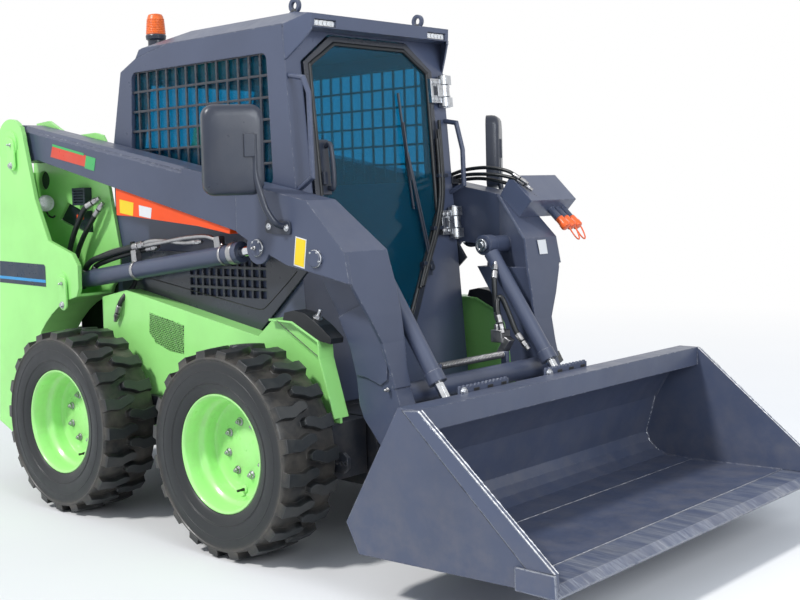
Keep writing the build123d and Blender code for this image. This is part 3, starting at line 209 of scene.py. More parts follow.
def plastic(name, colour, rough, grain, dust):
    """Moulded plastic with a fine leather-like grain."""
    g = Graph(name)
    film = g.times(g.fit(g.noise(13, 6, 0.65), 0.45, 0.75), dust)
    tone = g.mix(film, g.mix(g.noise(4, 3), shade(colour, 0.85), shade(colour, 1.2)), DUST)
    edge, rounded = g.edges(0.003)
    gloss = g.fit(g.noise(30, 4), 0.3, 0.7, rough * 0.85, rough * 1.2)
    tone = g.mix(g.times(edge, 0.25), tone, (0.12, 0.12, 0.13))
    return g.finish(tone, gloss, g.bump(g.cells(900), grain, 0.0004, rounded))


def rubber(name, tyre=False):
    """Black rubber. A tyre's is dusty in its grooves, greyer on its lug tops."""
    g = Graph(name)
    base = g.mix(g.noise(5, 4), (0.005, 0.007, 0.009), (0.011, 0.014, 0.017))
    gloss = g.fit(g.noise(24, 5), 0.3, 0.7, 0.32, 0.48)
    if tyre:
        x, z = g.axis("X"), g.axis("Z")
        reach = g.math("SQRT", g.math("ADD", g.times(x, x), g.times(z, z)))
        groove = g.fit(reach, 0.385, 0.366)
        tread = g.fit(reach, 0.335, 0.352)
        caked = g.times(g.times(groove, tread), g.fit(g.noise(8, 7, 0.7), 0.36, 0.64))
        scuff = g.times(tread, g.fit(g.noise(17, 7, 0.72), 0.5, 0.8))
        film = g.most(g.times(caked, 0.3), g.times(scuff, 0.1))
        film = g.most(film, g.fit(g.noise(6, 6, 0.7), 0.55, 0.95, 0.0, 0.06))
        tops = g.fit(reach, 0.381, 0.387)
        base = g.mix(g.times(tops, 0.85), base, (0.030, 0.034, 0.036))
        base = g.mix(film, base, (0.22, 0.19, 0.15))
        gloss = g.blend(film, gloss, 0.9)
        g.coat(0.12, 0.3)
    edge, rounded = g.edges(0.003)
    base = g.mix(g.times(edge, 0.15), base, (0.12, 0.12, 0.125))
    return g.finish(base, gloss, g.bump(g.noise(260, 4, 0.6), 0.22, 0.0008, rounded))


def bucket_steel(name, colour):
    """Bucket paint rubbed to bare steel on the floor, the lip and the side edges."""
    g = Graph(name)
    cloud = g.noise(2.2, 5)
    tone = g.mix(g.fit(cloud, 0.3, 0.7), shade(colour, 0.94), shade(colour, 1.06))
    edge, rounded = g.edges(0.008)
    x, z = g.axis("X"), g.axis("Z")
    # scratches run along x, the way that material slides in
    fine = g.noise(26, 6, 0.75, g.stretched((0.35, 9, 1)), 0.3)
    coarse = g.noise(5, 6, 0.7, g.stretched((0.5, 3.2, 1)), 0.6)
    across = g.noise(18, 5, 0.8, g.stretched((7, 0.6, 1)), 0.4)
    floor = g.times(g.fit(x, 0.95, 1.55), g.fit(z, 0.34, 0.2))
    floor = g.times(floor, g.fit(g.axis("Z", g.normal()), 0.3, 0.9))
    rubbed = g.times(g.fit(coarse, 0.42, 0.62), g.fit(fine, 0.4, 0.66))
    lines = g.most(g.times(g.fit(fine, 0.63, 0.7), 0.35), g.times(g.fit(across, 0.66, 0.72), 0.3))
    worn = g.times(g.math("ADD", rubbed, lines), floor)
    worn = g.most(worn, g.times(g.fit(fine, 0.69, 0.74), 0.22))
    chips = g.times(edge, g.fit(g.noise(30, 6, 0.75), 0.36, 0.48))
    worn = g.math("MINIMUM", g.most(worn, chips), 1.0)
    tone = g.mix(worn, tone, (0.44, 0.46, 0.50))
    dirt = g.times(g.fit(g.noise(7, 7, 0.7), 0.5, 0.8), g.fit(z, 0.5, 0.17, 0.03, 0.28))
    tone = g.mix(dirt, tone, (0.20, 0.18, 0.15))
    gloss = g.blend(worn, g.fit(cloud, 0.3, 0.7, 0.27, 0.4), 0.33)
    skin = g.bump(g.math("ADD", fine, g.times(across, 0.5)), 0.1, 0.0008, rounded)
    return g.finish(tone, gloss, skin, g.times(worn, 0.7))


def glass(name, tint):
    """Tinted pane that lets light through without dark shadows behind it."""
    g = Graph(name)
    g.finish(tint, g.fit(g.noise(5, 6, 0.7, None, 0.8), 0.3, 0.8, 0.02, 0.08))
    g.fill(g.shader, {"Transmission Weight": 0.93, "IOR": 1.22})
    clear = g.add("ShaderNodeBsdfTransparent", {"Color": tint}).outputs[0]
    shadow = g.add("ShaderNodeLightPath").outputs["Is Shadow Ray"]
    return g.surface(g.shaders(shadow, g.shader.outputs[0], clear))


def vinyl(name, colour):
    """Stitched seat vinyl: pebbled grain and soft creases."""
    g = Graph(name)
    tone = g.mix(g.noise(9, 5), shade(colour, 0.8), shade(colour, 1.3))
    folds = g.noise(26, 4, 0.6, None, 0.8)
    height = g.math("ADD", g.times(g.cells(420), 0.35), folds)
    g.fill(g.shader, {"Sheen Weight": 0.25})
    return g.finish(tone, g.fit(folds, 0.3, 0.7, 0.42, 0.6), g.bump(height, 0.15, 0.0006))


def lamp_face(name, colour, rough, metallic, cells):
    """Moulded lens or reflector with a small ribbed pattern."""
    g = Graph(name)
    ribs = g.cells(cells)
    tone = g.mix(ribs, shade(colour, 1.15), shade(colour, 0.7))
    gloss = g.fit(ribs, 0, 0.6, rough, rough * 2)
    return g.finish(tone, gloss, g.bump(ribs, 0.5, 0.002), metallic)


GREEN = (0.36, 0.84, 0.24)
RIM_GREEN = (0.42, 0.88, 0.28)
# dark grey paint with extra blue: partly the paint's own colour, partly painted reflection of the
# sky; cab_grey, arm_grey, weld and wear_steel share this painted sky reflection
SKY_TINTED_SLATE = (0.059, 0.074, 0.124)
FINISHES = {
    # colour, roughness, wear, dust, orange peel, clear coat
    "body_green": (paint, GREEN, 0.36, 0.25, 0.3, 0.06, 0.3),
    "rim_green": (paint, RIM_GREEN, 0.3, 0.2, 0.3, 0.05, 0.35),
    "frame_dark": (paint, (0.024, 0.028, 0.038), 0.4, 0.3, 0.35),
    "door_dark": (paint, (0.020, 0.025, 0.038), 0.3, 0.2, 0.1, 0.08, 0.3),
    "panel_dark": (paint, (0.021, 0.027, 0.040), 0.3, 0.2, 0.15, 0.08, 0.25),
    "cab_grey": (paint, shade(SKY_TINTED_SLATE, 1.15), 0.33, 0.3, 0.12, 0.08, 0.12),
    "arm_grey": (paint, SKY_TINTED_SLATE, 0.4, 0.5, 0.22, 0.14, 0.08),
    "lock_orange": (paint, (0.93, 0.085, 0.006), 0.5, 0.4, 0.1, 0.08, 0.0),
    "seat_metal": (paint, (0.02, 0.021, 0.023), 0.5, 0.2, 0.2),
    "engine_iron": (paint, (0.06, 0.062, 0.065), 0.6, 0.3, 0.5),
    "weld": (paint, shade(SKY_TINTED_SLATE, 0.9), 0.42, 0.3, 0.3, 0.9),
    "wear_steel": (bucket_steel, shade(SKY_TINTED_SLATE, 1.12)),
    # colour, roughness, stains
    "worn_edge": (steel, (0.62, 0.64, 0.68), 0.42, 0.55),
    "rod_chrome": (steel, (0.66, 0.68, 0.71), 0.1, 0.12),
    "hinge_steel": (steel, (0.52, 0.54, 0.57), 0.3),
    "bolt_steel": (steel, (0.36, 0.37, 0.39), 0.38, 0.5),
    "mirror_glass": (steel, (0.8, 0.82, 0.84), 0.03, 0.02),
    "spring_steel": (steel, (0.42, 0.42, 0.43), 0.35),
    "tinted_glass": (glass, (0.045, 0.37, 0.54)),
    "tyre_rubber": (rubber, True),
    "pad_rubber": (rubber,),
    "hose_black": (rubber,),
    "seat_vinyl": (vinyl, (0.022, 0.023, 0.026)),
    # colour, roughness, grain, dust
    # the blue in this black plastic's colour is painted reflection of the sky
    "black_plastic": (plastic, (0.024, 0.031, 0.050), 0.32, 0.1, 0.03),
    "sticker_yellow": (plastic, (0.82, 0.58, 0.01), 0.35, 0.03, 0.02),
    "sticker_white": (plastic, (0.72, 0.73, 0.74), 0.35, 0.05, 0.15),
    "plate_blue": (plastic, (0.010, 0.028, 0.055), 0.3, 0.05, 0.1),
    "band_blue": (plastic, (0.03, 0.30, 0.62), 0.3, 0.05, 0.1),
    "label_red": (plastic, (0.66, 0.06, 0.03), 0.32, 0.05, 0.12),
    "label_green": (plastic, (0.05, 0.42, 0.12), 0.32, 0.05, 0.12),
    "grease_black": (plastic, (0.008, 0.008, 0.008), 0.3, 0.1, 0.05),
    "cap_orange": (plastic, (0.82, 0.12, 0.02), 0.35, 0.1, 0.08),
    # colour, roughness, metal, size of the cells
    "lamp_chrome": (lamp_face, (0.75, 0.77, 0.8), 0.08, 1.0, 140),
    "beacon_amber": (lamp_face, (0.95, 0.17, 0.03), 0.16, 0.0, 60),
    "led_white": (lamp_face, (0.82, 0.84, 0.86), 0.1, 0.3, 260),
}
MATS = {name: kind(name, *values) for name, (kind, *values) in FINISHES.items()}

# nodes that take another finish than the one their CAD colour is named after
OTHER_FINISH = {
    "door_frame": "door_dark",
    "window_guards": "door_dark",
    "grab_handles": "cab_grey",
    "side_panel_right": "panel_dark",
    "side_panel_left": "panel_dark",
}
for node_name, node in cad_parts.items():
    for place in node.material_slots:
        key = OTHER_FINISH.get(node_name, place.material.name.split(".")[0])
        if key in MATS:
            place.material = MATS[key]


# ---- mesh building -----------------------------------------------
def linked(name, data):
    """New object, linked to the scene."""
    obj = bpy.data.objects.new(name, data)
    bpy.context.scene.collection.objects.link(obj)
    return obj


def circle(centre, side, other, radius, steps):
    """Points round a centre, from side towards other."""
    turns = (math.tau * i / steps for i in range(steps))
    return [centre + (side * math.cos(a) + other * math.sin(a)) * radius for a in turns]


class Shape:
    """Collects the faces of one piece."""

    def __init__(self):
        self.bm = bmesh.new()

    def loft(self, rings, closed=False):
        """Quads between rings of equal length. A closed loft joins its last ring to its first."""
        rows = [[self.bm.verts.new(p) for p in ring] for ring in rings]
        pairs = list(zip(rows, rows[1:]))
        if closed:
            pairs.append((rows[-1], rows[0]))
        for low, high in pairs:
            for i, corner in enumerate(low):
                j = (i + 1) % len(low)
                self.bm.faces.new((corner, low[j], high[j], high[i]))
        if not closed:
            self.bm.faces.new(rows[0][::-1])
            self.bm.faces.new(rows[-1])
        return self

    def prism(self, outline, end, start=ZERO):
        """Solid between the outline moved by start and by end."""
        return self.loft([[p + start for p in outline], [p + end for p in outline]])

    def block(self, centre, size, turn=None):
        hx, hy, hz = (s / 2 for s in size)
        turn = turn or Matrix.Identity(3)
        ring = [(-hx, -hy), (hx, -hy), (hx, hy), (-hx, hy)]
        corners = [[Vector((x, y, z)) for x, y in ring] for z in (-hz, hz)]
        return self.loft([[centre + turn @ p for p in level] for level in corners])

    def lathe(self, profile, centre, axis, steps=48):
        """Turns (along, radius) points about an axis, with a flat face at each end."""
        axis = Vector(axis).normalized()
        side = axis.orthogonal().normalized()
        other = axis.cross(side)
        return self.loft([circle(centre + axis * s, side, other, r, steps) for s, r in profile])

    def tube(self, path, radius, steps=12, radii=None):
        """Round tube through the path's points, without twist."""
        rings = []
        side = None
        for i, point in enumerate(path):
            before = path[max(i - 1, 0)]
            after = path[min(i + 1, len(path) - 1)]
            ahead = (after - before).normalized()
            side = side - ahead * side.dot(ahead) if side else ahead.orthogonal()
            side.normalize()
            r = radii[i] if radii else radius
            rings.append(circle(point, side, ahead.cross(side), r, steps))
        return self.loft(rings)

    def bolt(self, seat, outward, size=0.012, height=0.008, washer=1.45):
        """Hex head with a bevelled top on a washer."""
        thick = height * 0.28
        rim = size * washer
        self.lathe([(0, rim), (thick * 0.8, rim), (thick, rim * 0.95)], seat, outward, 20)
        head = [(thick * 0.5, size), (height * 0.86, size), (height, size * 0.86)]
        return self.lathe(head, seat, outward, 6)

    def make(self, name, material, body="chassis", bevel=0.0, angle=35, node=None, place=None,
             limit=30):
        """Object of the mesh, riding on a body. It may replace a CAD node, in its own slot."""
        bmesh.ops.recalc_face_normals(self.bm, faces=self.bm.faces)
        mesh = bpy.data.meshes.new(name)
        self.bm.to_mesh(mesh)
        self.bm.free()
        mesh.materials.append(MATS[material])
        mesh.shade_smooth()
        mesh.set_sharp_from_angle(angle=math.radians(angle))
        obj = linked(name, mesh)
        if place:
            obj.matrix_world = Matrix.Translation(place)
        if bevel:
            rounding = obj.modifiers.new("rounding", "BEVEL")
            rounding.width = bevel
            rounding.segments = 2
            rounding.limit_method = "ANGLE"
            rounding.angle_limit = math.radians(limit)
        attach(obj, body)
        if node:
            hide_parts(node)


def smooth_path(points, parts=8):
    """Points of a Catmull-Rom curve through the given ones."""
    points = [Vector(p) for p in points]
    padded = [2 * points[0] - points[1]] + points + [2 * points[-1] - points[-2]]
    out = []
    for a, b, c, d in zip(padded, padded[1:], padded[2:], padded[3:]):
        for i in range(parts):
            t = i / parts
            out.append(0.5 * (2 * b + (c - a) * t + (2 * a - 5 * b + 4 * c - d) * t * t
                              + (3 * b - a - 3 * c + d) * t ** 3))
    out.append(points[-1])
    return out


def rounded_rect(width, height, radius, steps=6):
    """Outline of a rounded rectangle about (0, 0)."""
    out = []
    for cx, cy, start in ((1, 1, 0), (-1, 1, 90), (-1, -1, 180), (1, -1, 270)):
        for i in range(steps + 1):
            a = math.radians(start + 90 * i / steps)
            out.append((cx * (width / 2 - radius) + radius * math.cos(a),
                        cy * (height / 2 - radius) + radius * math.sin(a)))
    return out


# ---- wheels ------------------------------------------------------
TYRE_RADIUS = 0.392
TYRE_HALF = 0.132
AXLES = {"rear": 0, "front": 1062}  # x of each axle, in mm
WHEEL_Y = 750  # y and z of a wheel's middle, in mm
WHEEL_Z = 392
WHEEL_SPIN = {"front": 0.11, "rear": 0.02}  # how far the tread is turned at rest
LUGS = 20
WALL_STEPS = 120
RING_STEPS = 96
# (distance from the tyre's middle, how far round the lug's middle line is, half its breadth)
LUG_LINE = [
    (0.123, 0.000, 0.025), (0.098, 0.001, 0.0225), (0.072, 0.006, 0.0215),
    (0.052, 0.007, 0.021), (0.030, -0.003, 0.020), (0.008, -0.009, 0.019),
    (-0.010, -0.009, 0.015), (-0.018, -0.008, 0.007),
]
# (radius, growth towards the carcass) of a lug's rings
LUG_RINGS = [(0.360, 0.0055), (0.378, 0.002), (TYRE_RADIUS, 0.0)]
CARCASS = [
    (0.104, 0.2225), (0.112, 0.2245), (0.118, 0.232), (0.1225, 0.250), (0.128, 0.275),
    (0.130, 0.300), (0.1285, 0.322), (0.1265, 0.338), (0.1275, 0.3475), (0.131, 0.3515),
    (0.1315, 0.355), (0.1290, 0.3585), (0.122, 0.3615), (0.100, 0.3645), (0.060, 0.3665),
    (0.020, 0.3675),
]
RIM_INSIDE = [
    (-0.034, 0.0), (-0.034, 0.1700), (-0.040, 0.1800), (-0.060, 0.1900), (-0.075, 0.2060),
    (-0.100, 0.2090), (-0.108, 0.2125), (-0.1115, 0.2165), (-0.1115, 0.2215), (-0.1085, 0.2235),
]
RIM_OUTSIDE = [
    (0.1085, 0.2235), (0.1115, 0.2215), (0.1115, 0.2165), (0.108, 0.2125), (0.100, 0.2090),
    (0.060, 0.2065), (0.046, 0.2045), (0.039, 0.2000), (0.034, 0.1920), (0.028, 0.1870),
    (0.012, 0.1845), (-0.012, 0.1835), (-0.019, 0.1800), (-0.022, 0.1740),
    (-0.022, 0.1430), (-0.0195, 0.1390), (-0.0195, 0.0790), (-0.018, 0.0765), (-0.0165, 0.0740),
    (-0.0165, 0.0115), (-0.0150, 0.0095), (-0.0150, 0.0),
]


def tread_point(turn, across, radius):
    return Vector((radius * math.sin(turn), across, radius * math.cos(turn)))


def tread_rings(profile, steps):
    return [[tread_point(math.tau * i / steps, a, r) for i in range(steps)] for a, r in profile]


def lug_ring(row, middle, radius, grow):
    """Outline of one lug at a radius. It grows towards the carcass."""
    ring = []
    for edge, line in ((1, LUG_LINE), (-1, LUG_LINE[::-1])):
        for a, s, half in line:
            spread = s + edge * (half + grow)
            reach = a + (grow * 1.3 if a > 0.12 else (-grow if a < -0.012 else 0))
            crown = 0.007 * (abs(a) / TYRE_HALF) ** 2 * (radius / TYRE_RADIUS)
            ring.append(tread_point(middle + spread / TYRE_RADIUS, row * reach, radius - crown))
    return ring


def tyre_shape():
    shape = Shape()
    section = CARCASS + [(-a, r) for a, r in CARCASS[::-1]] + [(-0.100, 0.230), (0.100, 0.230)]
    shape.loft(tread_rings(section, WALL_STEPS), closed=True)
    for row in (1, -1):
        for number in range(LUGS):
            middle = math.tau * (number + (0.5 if row < 0 else 0.0)) / LUGS
            shape.loft([lug_ring(row, middle, radius, grow) for radius, grow in LUG_RINGS])
    # fine moulded rings on the walls
    for wall in (1, -1):
        for radius, out in ((0.262, 0.1262), (0.2665, 0.1270), (0.312, 0.1302)):
            profile = [(wall * (out - 0.001), radius - 0.0012), (wall * (out + 0.0009), radius),
                       (wall * (out - 0.001), radius + 0.0012), (wall * (out - 0.002), radius)]
            shape.loft(tread_rings(profile, RING_STEPS), closed=True)
    return shape


VALVE_Z = -0.160
NUTS = 8
NUT_CIRCLE = 0.102
OUTWARD = Vector((0, 1, 0))


def rim_shape():
    shape = Shape()
    profile = [(s, max(r, 0.0008)) for s, r in RIM_INSIDE + RIM_OUTSIDE]
    shape.loft(tread_rings(profile, RING_STEPS))
    shape.tube([Vector((0, -0.034, 0)), Vector((0, -0.136, 0))], 0.038, 32)
    boss = Vector((0, -0.0225, VALVE_Z))
    return shape.lathe([(0, 0.016), (0.004, 0.016), (0.006, 0.012)], boss, OUTWARD, 24)


def nuts_shape():
    shape = Shape()
    for i in range(NUTS):
        a = math.tau * (i + 0.5) / NUTS
        seat = Vector((NUT_CIRCLE * math.cos(a), -0.0195, NUT_CIRCLE * math.sin(a)))
        shape.lathe([(0, 0.0165), (0.003, 0.0165), (0.0045, 0.0145)], seat, OUTWARD, 24)
        shape.lathe([(0.003, 0.0115), (0.013, 0.0115), (0.0155, 0.0098)], seat, OUTWARD, 6)
        shape.lathe([(0.013, 0.0062), (0.020, 0.0062), (0.0215, 0.005)], seat, OUTWARD, 12)
    return shape


def valve_shape():
    profile = [(0, 0.006), (0.006, 0.0062), (0.022, 0.0045), (0.026, 0.005), (0.034, 0.005)]
    return Shape().lathe(profile, Vector((0, -0.018, VALVE_Z)), OUTWARD, 12)


def wheel(axle, tag, side):
    """The four pieces of a wheel, made about its middle and mirrored onto its side."""
    label = axle + tag
    middle = at(AXLES[axle], side * WHEEL_Y, WHEEL_Z)
    mirror = Matrix.Scale(side, 4, OUTWARD)
    mirror = Matrix.Rotation(WHEEL_SPIN[axle], 4, "Y") @ mirror
    for shape, name, material, node, bevel in (
        (tyre_shape(), "tread_", "tyre_rubber", "tyre_" + label, 0.0028),
        (rim_shape(), "wheel_rim_", "rim_green", "rim_" + label, 0),
        (nuts_shape(), "wheel_nuts_", "bolt_steel", None, 0),
        (valve_shape(), "wheel_valve_", "grease_black", None, 0),
    ):
        bmesh.ops.transform(shape.bm, matrix=mirror, verts=shape.bm.verts)
        shape.make(name + label, material, "wheel_" + label, bevel, 33, node, middle, 38)


for axle in AXLES:
    for tag, side in SIDES.items():
        wheel(axle, tag, side)


# ---- shared small pieces -----------------------------------------
def sided(side, points):
    """CAD points of the left side, brought to the given side."""
    return [at(x, side * y, z) for x, y, z in points]


def side_sheet(name, corners, y, thick, material, body="chassis"):
    """Flat sheet on a side face: (x, z) corners at y, thick outward, all in CAD millimetres."""
    outward = Vector((0, math.copysign(thick / MM, y), 0))
    Shape().prism([at(x, y, z) for x, z in corners], outward).make(name, material, body)


def pin_head(shape, seat, radius, side, bolts=3):
    """Turned pin end with its keeper bolts, outward along y."""
    out = Vector((0, side, 0))
    r = radius / MM
    profile = [(0, r), (0.007, r), (0.009, r * 0.94), (0.009, r * 0.72), (0.0065, r * 0.68),
               (0.0065, r * 0.5), (0.011, r * 0.47), (0.012, r * 0.42), (0.012, 0.001)]
    shape.lathe(profile, seat, out, 40)
    for i in range(bolts):
        a = math.radians(-20 + 75 * i)
        spot = seat + Vector((math.cos(a), 0, math.sin(a))) * r * 0.82 + out * 0.008
        shape.bolt(spot, out, 0.0045, 0.006, 1.2)


def nipple(shape, seat, out):
    profile = [(0, 0.008), (0.006, 0.008), (0.0065, 0.0045), (0.013, 0.0042), (0.015, 0.0052),
               (0.018, 0.0045), (0.02, 0.002)]
    shape.lathe(profile, seat, out, 12)


def fitting(shape, seat, ahead, r):
    """Crimped hose end: sleeve, hex nut and stub, along ahead from the hose's end."""
    sleeve = [(-0.045, r * 1.02), (-0.043, r * 1.16), (-0.012, r * 1.16), (-0.009, r * 0.8),
              (0.0, r * 0.8)]
    shape.lathe(sleeve, seat, ahead, 20)
    shape.lathe([(-0.004, r * 1.2), (0.016, r * 1.2), (0.018, r * 1.1)], seat, ahead, 6)
    shape.lathe([(0.016, r * 0.85), (0.034, r * 0.85)], seat, ahead, 16)


def hose(name, points, radius, body="chassis", ends=(True, True), material="hose_black"):
    """Clamped hose: a rigid curved tube with crimped ends."""
    path = smooth_path(points)
    Shape().tube(path, radius / MM, 14).make(name, material, body, angle=60)
    metal = Shape()
    if ends[0]:
        fitting(metal, path[0], path[0] - path[2], radius / MM)
    if ends[1]:
        fitting(metal, path[-1], path[-1] - path[-3], radius / MM)
    metal.make(name + "_ends", "spring_steel", body, angle=30)


LEAN = 86 / 1050  # how far the cab's front leans back
LEAN_RUN = math.hypot(1, LEAN)
FRONT_OUT = (LEAN_RUN, 0, LEAN)
FRONT_UP = Vector((-LEAN / LEAN_RUN, 0, 1 / LEAN_RUN))


def front_point(y, z, out):
    """Point on the cab's leaning front, out from it."""
    return at(1069 + (1850 - z) * LEAN + out / LEAN_RUN, y, z + out * LEAN / LEAN_RUN)


def front_box(shape, y, z, out, size):
    shape.block(front_point(y, z, out), size, Matrix.Rotation(-math.atan(LEAN), 3, "Y"))


# ---- side pieces, each side --------------------------------------
MIRROR_WIDTH = 0.226
MIRROR_HEIGHT = 0.331
MIRROR_SECTION = [(-0.030, 1.0), (-0.028, 1.0), (-0.006, 1.0), (0.010, 0.985), (0.020, 0.95),
                  (0.027, 0.88), (0.0295, 0.74), (0.030, 0.4)]


def mirror_piece(tag, side):
    """Moulded mirror housing on its bent stalk."""
    centre = at(1110, side * 790, 1505)
    forward = Vector((0.85, side * 0.53, 0)).normalized()
    across = Vector((0, 0, 1)).cross(forward)

    def ring(depth, width, height, corner):
        flat = rounded_rect(width, height, corner)
        return [centre + forward * depth + across * u + Vector((0, 0, v)) for u, v in flat]

    rings = [ring(depth, MIRROR_WIDTH * share, MIRROR_HEIGHT * share, 0.042)
             for depth, share in ((-0.0245, 0.955), (-0.030, 0.965))]
    rings += [ring(depth, MIRROR_WIDTH * share, MIRROR_HEIGHT * share, 0.045 * share)
              for depth, share in MIRROR_SECTION]
    shell = Shape().loft(rings)
    # clamp between the housing and its stalk
    turn = Matrix.Rotation(math.atan2(forward.y, forward.x), 3, "Z")
    shell.block(at(1152, side * 752, 1520), (0.046, 0.04, 0.085), turn)
    shell.make("mirror_housing" + tag, "black_plastic", ARM, 0.002, 40, "mirror" + tag)
    pane = Shape().prism(ring(-0.0262, 0.212, 0.315, 0.04), forward * 0.002)
    pane.make("mirror_pane" + tag, "mirror_glass", ARM)
    stalk = [(1228, 664, 1222), (1224, 700, 1238), (1204, 722, 1285), (1186, 731, 1345),
             (1170, 738, 1410), (1168, 738, 1480), (1168, 738, 1560)]
    tube = Shape().tube(smooth_path(sided(side, stalk), 6), 0.012, 16)
    tube.make("mirror_stalk" + tag, "black_plastic", ARM, angle=60)
    outline = [at(1199 + u * MM, side * 655, 1219 + v * MM - u * 60)
               for u, v in rounded_rect(0.132, 0.05, 0.012)]
    foot = Shape().prism(outline, Vector((0, side * 0.009, 0)))
    foot.make("mirror_foot" + tag, "black_plastic", ARM, 0.0012)
    bolts = Shape()
    for x, z in ((1152, 1222), (1246, 1216)):
        bolts.bolt(at(x, side * 664, z), (0, side, 0), 0.0085, 0.008)
    bolts.make("mirror_bolts" + tag, "hinge_steel", ARM, angle=30)


def lamp_piece():
    """Chromed round work lamps in the tower windows."""
    chrome, lens, cable = Shape(), Shape(), Shape()
    case = [(-0.03, 0.001), (-0.03, 0.014), (-0.022, 0.024), (-0.008, 0.034), (0.01, 0.0385),
            (0.020, 0.0395), (0.022, 0.0385), (0.022, 0.035), (0.018, 0.0345)]
    glass_face = [(0.0185, 0.0345), (0.021, 0.030), (0.0235, 0.018), (0.0245, 0.001)]
    wire = [(-560, 530, 1300), (-552, 520, 1272), (-536, 508, 1262), (-530, 498, 1270)]
    for side in SIDES.values():
        centre = at(-548, side * 540, 1330)
        ahead = Vector((0.95, side * 0.3, 0))
        chrome.lathe(case, centre, ahead, 40)
        chrome.block(at(-556, side * 507, 1330), (0.024, 0.03, 0.03))
        lens.lathe(glass_face, centre, ahead, 40)
        cable.tube(smooth_path(sided(side, wire), 6), 0.0045, 10)
    chrome.make("lamp_housings", "hinge_steel", "chassis", 0.0008, node="work_lamps")
    lens.make("lamp_lenses", "led_white", angle=60)
    cable.make("lamp_cables", "hose_black", angle=60)


def beacon_piece():
    low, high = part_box("beacon")
    centre = Vector(((low.x + high.x) / 2, (low.y + high.y) / 2, 0))
    top = high.z
    profile = [(low.z + 0.002, 0.036), (top - 0.118, 0.036), (top - 0.112, 0.044),
               (top - 0.098, 0.046), (top - 0.092, 0.043)]
    Shape().lathe(profile, centre, (0, 0, 1), 40).make("beacon_base", "black_plastic", angle=30)
    profile = [(top - 0.095, 0.0425)]
    for i in range(9):
        z = top - 0.090 + 0.0075 * i
        r = 0.0425 - 0.0006 * i
        profile += [(z, r), (z + 0.0022, r + 0.0016), (z + 0.0052, r + 0.0016), (z + 0.0070, r)]
    profile += [(top - 0.018, 0.036), (top - 0.012, 0.0345), (top - 0.004, 0.030),
                (top - 0.001, 0.020), (top, 0.001)]
    dome = Shape().lathe(profile, centre, (0, 0, 1), 48)
    dome.make("beacon_dome", "beacon_amber", angle=50, node="beacon")


LIFT_FOOT = Vector((-215, 975))  # x and z of the lift cylinder's two pins
LIFT_HEAD = Vector((1079, 1141))
LIFT_PIPES = [
    ("lift_pipe", 9, (True, False), "spring_steel",
     [(-70, 590, 1078), (20, 590, 1104), (113, 590, 1122), (300, 590, 1140), (420, 590, 1154),
      (560, 590, 1172), (690, 590, 1180), (765, 590, 1164), (812, 590, 1134)]),
    ("lift_hose_a", 14, (True, True), "hose_black",
     [(-158, 596, 985), (-140, 600, 1030), (-81, 602, 1068), (36, 600, 1098), (150, 596, 1121),
      (262, 592, 1140)]),
    ("lift_hose_b", 12, (True, True), "hose_black",
     [(-120, 582, 1010), (-80, 580, 1046), (20, 577, 1074), (130, 574, 1098), (240, 570, 1116),
      (330, 572, 1130)]),
    ("lift_hose_c", 9, (False, True), "spring_steel",
     [(262, 592, 1140), (330, 588, 1158), (420, 584, 1160), (540, 586, 1152), (640, 590, 1156)]),
]


def cylinder_details(tag, side):
    y = side * 590
    for name, radius, ends, material, points in LIFT_PIPES:
        hose(name + tag, sided(side, points), radius, "lift_barrel" + tag, ends, material)
    metal = Shape()
    run = (LIFT_HEAD - LIFT_FOOT).normalized()
    for s, r, half in ((455, 0.0415, 0.008), (1040, 0.0415, 0.005), (1100, 0.044, 0.013)):
        spot = LIFT_FOOT + run * s
        band = [(-half, r), (0.0015 - half, r + 0.0015), (half - 0.0015, r + 0.0015), (half, r)]
        metal.lathe(band, at(spot.x, y, spot.y), (run.x, 0, run.y), 40)
    turn = Matrix.Rotation(-math.atan2(run.y, run.x), 3, "Y")
    for s, lift in ((455, 62), (1010, 52)):
        spot = LIFT_FOOT + run * s + Vector((-run.y, run.x)) * lift
        metal.block(at(spot.x, y, spot.y), (0.034, 0.03, 0.05), turn)
    metal.make("lift_bands" + tag, "spring_steel", "lift_barrel" + tag, 0.001)


ELBOW_EDGE = [(960, 1391), (1342, 1315), (1525, 1130), (1547, 1018)]


def arm_details(tag, side):
    pins = Shape()
    for x, z in ((1079, 1141), (1385, 1106)):
        pin_head(pins, at(x, side * 655, z), 33, side)
    pin_head(pins, at(1385, side * 318, 1106), 27, -side, 0)
    pins.make("arm_pins" + tag, "hinge_steel", ARM, 0.0006, 30)
    small = Shape()
    nipple(small, at(1593, side * 518, 635), (0, side, 0))
    nipple(small, at(1075, side * 667, 1141), (0, side, 0))
    small.make("arm_nipples" + tag, "spring_steel", ARM, angle=30)
    # weld where the elbow's plates meet
    path = []
    for (x0, z0), (x1, z1) in zip(ELBOW_EDGE, ELBOW_EDGE[1:]):
        steps = max(2, int(math.dist((x0, z0), (x1, z1)) / 7))
        path += [at(x0 + (x1 - x0) * i / steps, side * 640.5, z0 + (z1 - z0) * i / steps - 12)
                 for i in range(steps)]
    draw = random.Random(7)
    radii = [0.0028 + 0.0009 * draw.random() for _ in path]
    bead = Shape().tube(path, 0.003, 8, radii)
    bead.make("elbow_weld" + tag, "weld", ARM, angle=60)


TOWER_HOSES = [
    ("tower_hose_a", 13, (True, True),
     [(-150, 536, 1330), (-194, 556, 1300), (-240, 562, 1240), (-280, 564, 1180),
      (-312, 566, 1110), (-322, 566, 1040)]),
    ("tower_hose_b", 12, (True, True),
     [(-110, 534, 1300), (-140, 540, 1268), (-190, 543, 1215), (-240, 544, 1160),
      (-285, 545, 1090), (-300, 546, 1030)]),
    ("tower_drain", 11, (False, True),
     [(92, 508, 1150), (103, 508, 1070), (112, 509, 1005), (113, 526, 958), (105, 562, 922),
      (95, 584, 890), (82, 588, 858), (70, 588, 834)]),
]
